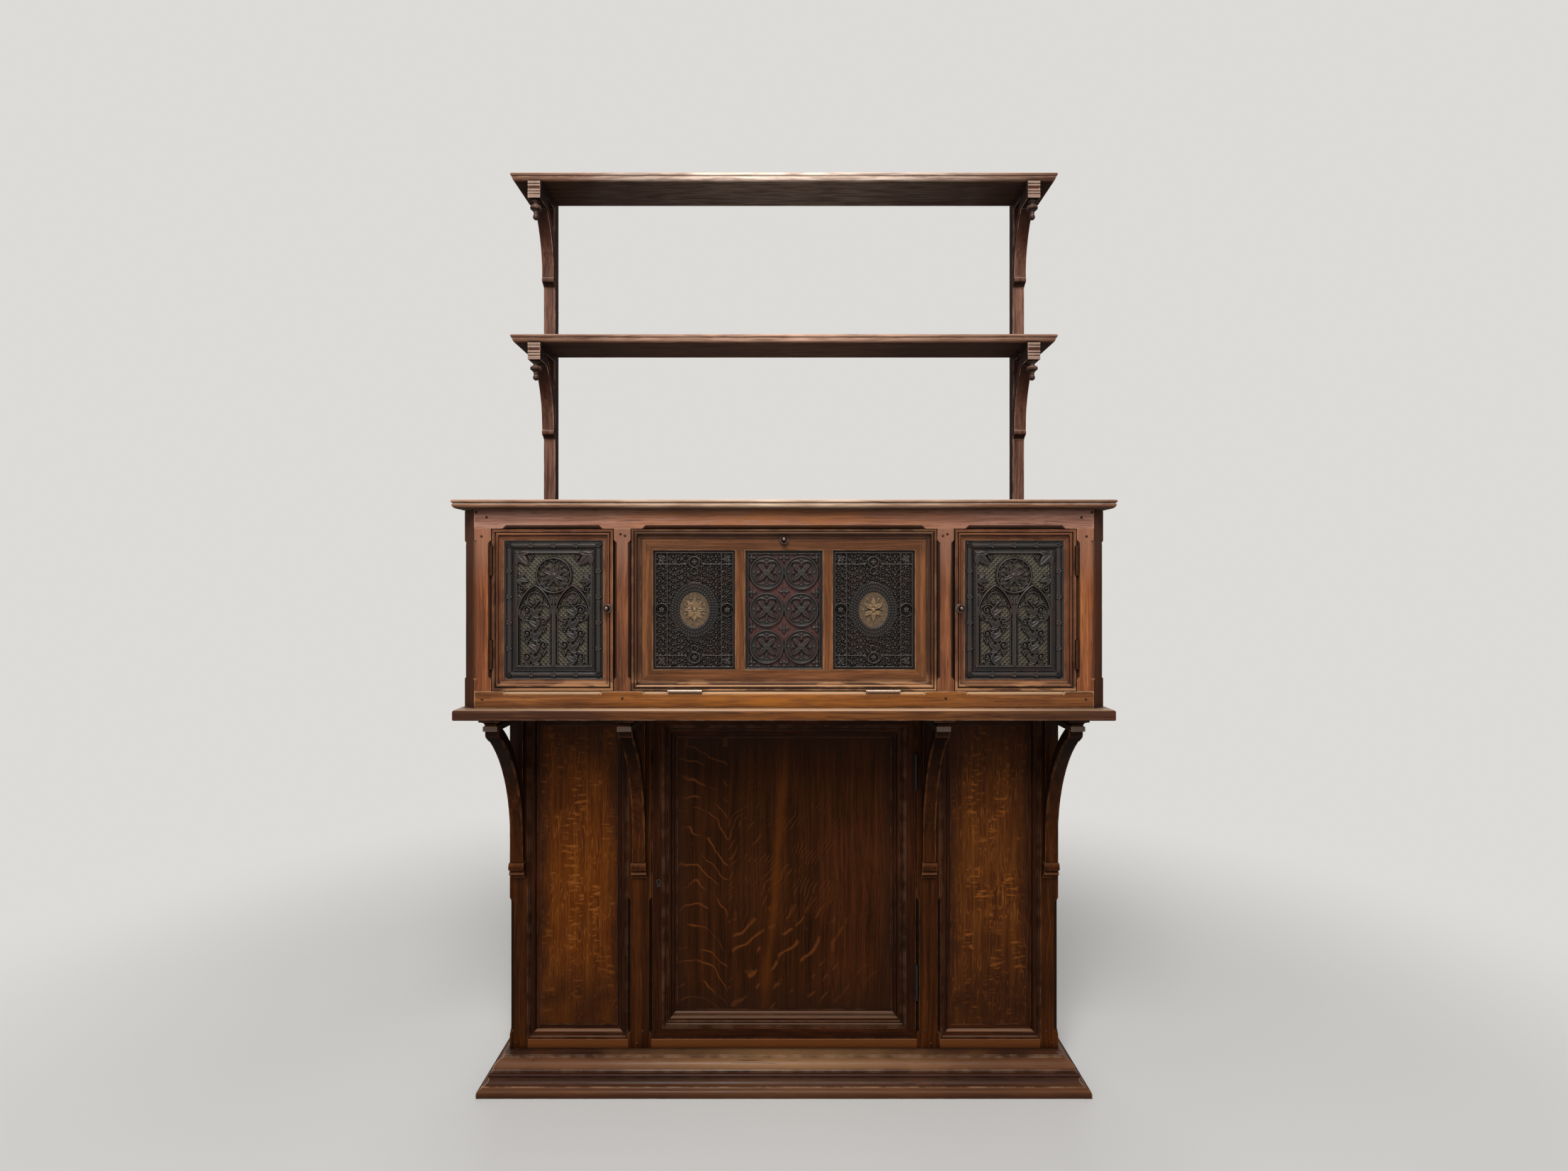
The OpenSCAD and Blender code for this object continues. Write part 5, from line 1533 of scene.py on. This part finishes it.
def door_ornament(relief, name, body, slot, material):
    """Rosettes on the rod and a row of beads inside it, on one door panel."""
    sizes = bpy.context.scene.cabinet_carving
    # The rosettes and beads get a fixed proud of 0.66, a painted highlight
    marks = (("paint", 0.0), ("gilt", 0.0), ("proud", 0.66))
    rod_top = 5.2
    w, h = relief.width / 2 - relief.ROD, relief.height / 2 - relief.ROD
    corners = [(-w, -h), (w, -h), (w, h), (-w, h)]
    verts, edges = [], []
    for i in range(4):
        verts += world_points(relief, [corners[i], corners[(i + 1) % 4]], rod_top)
        edges.append((2 * i, 2 * i + 1))
    values = {"Spacing": sizes.rosette_spacing, "Radius": sizes.rosette_radius, "Petals": 5,
              "Boss share": 0.34}
    from_tree(name + "_rosettes", row_tree(), verts, edges, values, body, slot, material, marks)
    run, run_end, bead_height = 18, 20, 2.9
    w, h = relief.width / 2 - run, relief.height / 2 - run_end
    verts = world_points(relief, [(-w, -h), (-w, h), (w, -h), (w, h)], bead_height)
    values = {"Spacing": sizes.bead_spacing, "Radius": sizes.bead_radius, "Petals": 0, "Boss share": 1.0}
    from_tree(name + "_beads", row_tree(), verts, [(0, 1), (2, 3)], values, body, slot, material, marks)


def wreath(relief, name, material):
    """Three rings of beads round an oval boss."""
    verts, edges = [], []
    for half_w, half_h in ((29.5, 35.5), (34.5, 41.5), (39.5, 47.5)):
        ring = [on_oval(half_w, half_h, a) for a in np.linspace(0, 2 * math.pi, 60, endpoint=False)]
        edges += [(len(verts) + i, len(verts) + (i + 1) % len(ring)) for i in range(len(ring))]
        verts += world_points(relief, ring, 3.4)
    values = {"Spacing": 5.0 * MM, "Radius": 2.1 * MM, "Petals": 0, "Boss share": 1.0}
    # The wreath's beads get a fixed proud of 0.6, a painted highlight
    marks = (("paint", 0.0), ("gilt", 0.0), ("proud", 0.6))
    from_tree(name + "_wreath", row_tree(), verts, edges, values, "flap", "carved_panel", material, marks)


class CABINET_OT_shelves(bpy.types.Operator):
    """Rounds and finishes the uprights, shelves, brackets and pendants"""

    bl_idname = "cabinet.shelves"
    bl_label = "Open shelves"

    def execute(self, context):
        # The uprights' pinkish grey is partly painted sheen from the light above
        dusty = oak("dusty_oak_shelf_upright", ("#22130d", "#644539", "#82604f", "#dcbca2"),
                    side=0.85, shine=0.05, worn=0.9)
        for node in ("upright_left", "upright_right"):
            soften(node, dusty)
        # The shelves' fronts are painted paler towards the middle, a painted pool of light
        rubbed = ("#2a1811", "#70503f", "#8f6b58", "#ecd3bf")
        for node, pale, most in (("shelf_low", "#c9a089", 0.75), ("shelf_top", "#f0d6c4", 0.85)):
            edge_oak = oak("rubbed_oak_" + node, rubbed, "X", figure=painted_light_middle(pale, 0.72, most),
                           side=0.85, shine=0.05, worn=0.9, dents=0.6)
            soften(node, edge_oak, "X", fine=True, wear=1.5)
        dark = ("#1d0f0a", "#553629", "#6f4c3c", "#c4a28d")
        for node in ("shelf_brackets_low", "shelf_brackets_top"):
            # Painted shade under the shelf, and painted sheen on the block's front
            strut_oak = oak("smoked_oak_" + node, dark, figure=shaded_strut(*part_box(node)[LOW].yz),
                            side=0.85, shine=0.08, worn=0.9)
            soften(node, strut_oak, fine=True)
        repaint("pendants", oak("smoked_oak_pendants", ("#160c08", "#3a241b", "#52362a", "#b89680"),
                                side=0.3, shine=0.2, worn=0.9))
        return {"FINISHED"}


class CABINET_OT_carcase(bpy.types.Operator):
    """Finishes the boards inside and behind"""

    bl_idname = "cabinet.carcase"
    bl_label = "Carcase boards"

    def execute(self, context):
        plain = ("#1d0e07", "#442715", "#55331d", "#6a4429")
        upright = oak("plain_oak_upright", plain, "Z", roughness=0.6, worn=0.2)
        level = oak("plain_oak_level", plain, "X", roughness=0.6, worn=0.2)
        for node in ("stand_side_left", "stand_side_right", "stand_back", "cab_back", "partitions"):
            soften(node, upright, wear=0)
        for node in ("plinth_back", "floor_board", "inner_shelf"):
            soften(node, level, "X", wear=0)
        return {"FINISHED"}


class CABINET_OT_hardware(bpy.types.Operator):
    """Finishes the hinges, knobs, lock and keyhole plate"""

    bl_idname = "cabinet.hardware"
    bl_label = "Hardware"

    def execute(self, context):
        brass = aged_metal("dark_brass", "#211b16", "#5d5348", 0.5)
        browned = ("#2c1b12", "#6b4630")
        steel = aged_metal("browned_and_rubbed_steel", "#7c6456", "#d6bfae", 0.4, outer=browned)
        iron = aged_metal("dull_iron", "#1f1c1a", "#4d4843", 0.55)
        for node in ("door_left_knob", "door_right_knob", "flap_knob"):
            repaint(node, turned_knob("turned_bronze_" + node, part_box(node)[LOW].y))
        for node in ("low_door_escutcheon", "lock_bolt"):
            repaint(node, brass)
        for node in ("door_left_hinges", "door_right_hinges", "flap_hinges", "cab_hinges_fixed"):
            repaint(node, steel)
        for node in ("low_door_lock", "low_hinge_door", "low_hinge_post"):
            repaint(node, iron)
        return {"FINISHED"}


def seen_directly(tree):
    """1 for a ray from the camera, a mirror or glass, and 0 for the light that falls on the object."""
    rays = add(tree, "LightPath").outputs
    either = add(tree, "MAXIMUM", rays["Is Camera Ray"], rays["Is Transmission Ray"])
    return add(tree, "MAXIMUM", either, rays["Is Glossy Ray"])


class CABINET_OT_stage(bpy.types.Operator):
    """Lays the pale floor, and sets the lamps and the camera"""

    bl_idname = "cabinet.stage"
    bl_label = "Stage"

    def execute(self, context):
        self.floor()
        self.lamps(context)
        self.camera(context)
        context.scene.view_settings.view_transform = "Standard"
        return {"FINISHED"}

    def floor(self):
        """A pale sheet. Away from the cabinet it takes the backdrop's colour in the camera's eye, so
        that no horizon shows, and near it the floor keeps the cabinet's shadow."""
        reach = 40.0
        mesh = bpy.data.meshes.new("floor")
        mesh.from_pydata([(-reach, -reach, 0), (reach, -reach, 0), (reach, reach, 0), (-reach, reach, 0)],
                         [], [(0, 1, 2, 3)])
        floor = new_object("floor", mesh)
        material, tree, shader = new_material("pale_paper_floor", 0.9, shine=0.1)
        place = add(tree, "TexCoord").outputs["Object"]
        tone = add(tree, "ValToRGB", add(tree, "TexNoise", place, 1.5, 1.0))
        plug(tree, ramp(tone, (0.3, "#cfcdca"), (0.7, "#d3d1ce")), shader.inputs["Base Color"])
        away = add(tree, "VectorMath", place, operation="LENGTH")
        far = add(tree, "MapRange", away, 0.75, 2.3, interpolation_type="SMOOTHSTEP")
        share = add(tree, "MULTIPLY", far, seen_directly(tree))
        mixed = add(tree, "MixShader", share, shader, add(tree, "Emission", BACKDROP))
        plug(tree, mixed, tree.nodes["Material Output"].inputs["Surface"])
        floor.data.materials.append(material)

    def lamps(self, context):
        """A wide soft lamp above the front, a weak one at each side, one behind, and a pale sky."""
        # Sizes are in metres and powers in watts
        for name, place, aim, size, power in (
                ("key", (-0.2, -2.3, 3.1), (0, 0, 0.7), 1.5, 118),
                ("fill_left", (-2.4, -3.0, 1.2), (0, 0, 0.7), 2.4, 12),
                ("fill_right", (2.4, -3.0, 1.2), (0, 0, 0.7), 2.4, 10),
                ("back", (0.0, 3.2, 2.6), (0, 0, 1.0), 2.4, 34)):
            lamp = bpy.data.lights.new(name, "AREA")
            lamp.shape = "SQUARE"
            lamp.size = size
            lamp.energy = power
            obj = new_object(name, lamp)
            obj.location = place
            obj.rotation_euler = (Vector(aim) - Vector(place)).to_track_quat("-Z", "Y").to_euler()
        world = bpy.data.worlds.new("pale_sky")
        context.scene.world = world
        world.use_nodes = True
        tree = world.node_tree
        tree.nodes.clear()
        light, shown = add(tree, "Background", "#ffffff", 0.24), add(tree, "Background", BACKDROP, 1.0)
        add(tree, "OutputWorld", add(tree, "MixShader", seen_directly(tree), light, shown))

    def camera(self, context):
        """The photograph's camera: 0.972 m up, 1.46 m in front of the cabinet, looking level."""
        image_width = 2213
        focal_pixels = 1150
        lens = bpy.data.cameras.new("camera")
        lens.sensor_width = 36
        lens.sensor_fit = "HORIZONTAL"
        lens.lens = focal_pixels * lens.sensor_width / image_width
        camera = new_object("camera", lens)
        camera.location = (0.0, -1.6135, 0.972)
        camera.rotation_euler = (math.pi / 2, 0, 0)
        context.scene.camera = camera


class CABINET_PT_panel(bpy.types.Panel):
    """Lists the cabinet's groups of pieces"""

    bl_label = "Cabinet on Stand"
    bl_idname = "CABINET_PT_panel"
    bl_space_type = "VIEW_3D"
    bl_region_type = "UI"
    bl_category = "Cabinet"

    def draw(self, context):
        for operator in OPERATORS:
            self.layout.operator(operator.bl_idname)


OPERATORS = (
    CABINET_OT_plinth, CABINET_OT_stand_frame, CABINET_OT_stand_panels, CABINET_OT_brackets,
    CABINET_OT_lower_door, CABINET_OT_boards, CABINET_OT_cabinet_frame, CABINET_OT_pegs, CABINET_OT_doors,
    CABINET_OT_carvings, CABINET_OT_shelves, CABINET_OT_carcase, CABINET_OT_hardware, CABINET_OT_stage)
CLASSES = (CabinetWear, CabinetCarving, CabinetColours) + OPERATORS + (CABINET_PT_panel,)


def register():
    for cls in CLASSES:
        bpy.utils.register_class(cls)
    bpy.types.Scene.cabinet_wear = bpy.props.PointerProperty(type=CabinetWear)
    bpy.types.Scene.cabinet_carving = bpy.props.PointerProperty(type=CabinetCarving)
    bpy.types.Scene.cabinet_colours = bpy.props.PointerProperty(type=CabinetColours)


def unregister():
    del bpy.types.Scene.cabinet_wear
    del bpy.types.Scene.cabinet_carving
    del bpy.types.Scene.cabinet_colours
    for cls in reversed(CLASSES):
        bpy.utils.unregister_class(cls)


def main():
    register()
    for operator in OPERATORS:
        group, name = operator.bl_idname.split(".")
        getattr(getattr(bpy.ops, group), name)()


if __name__ == "__main__":
    main()
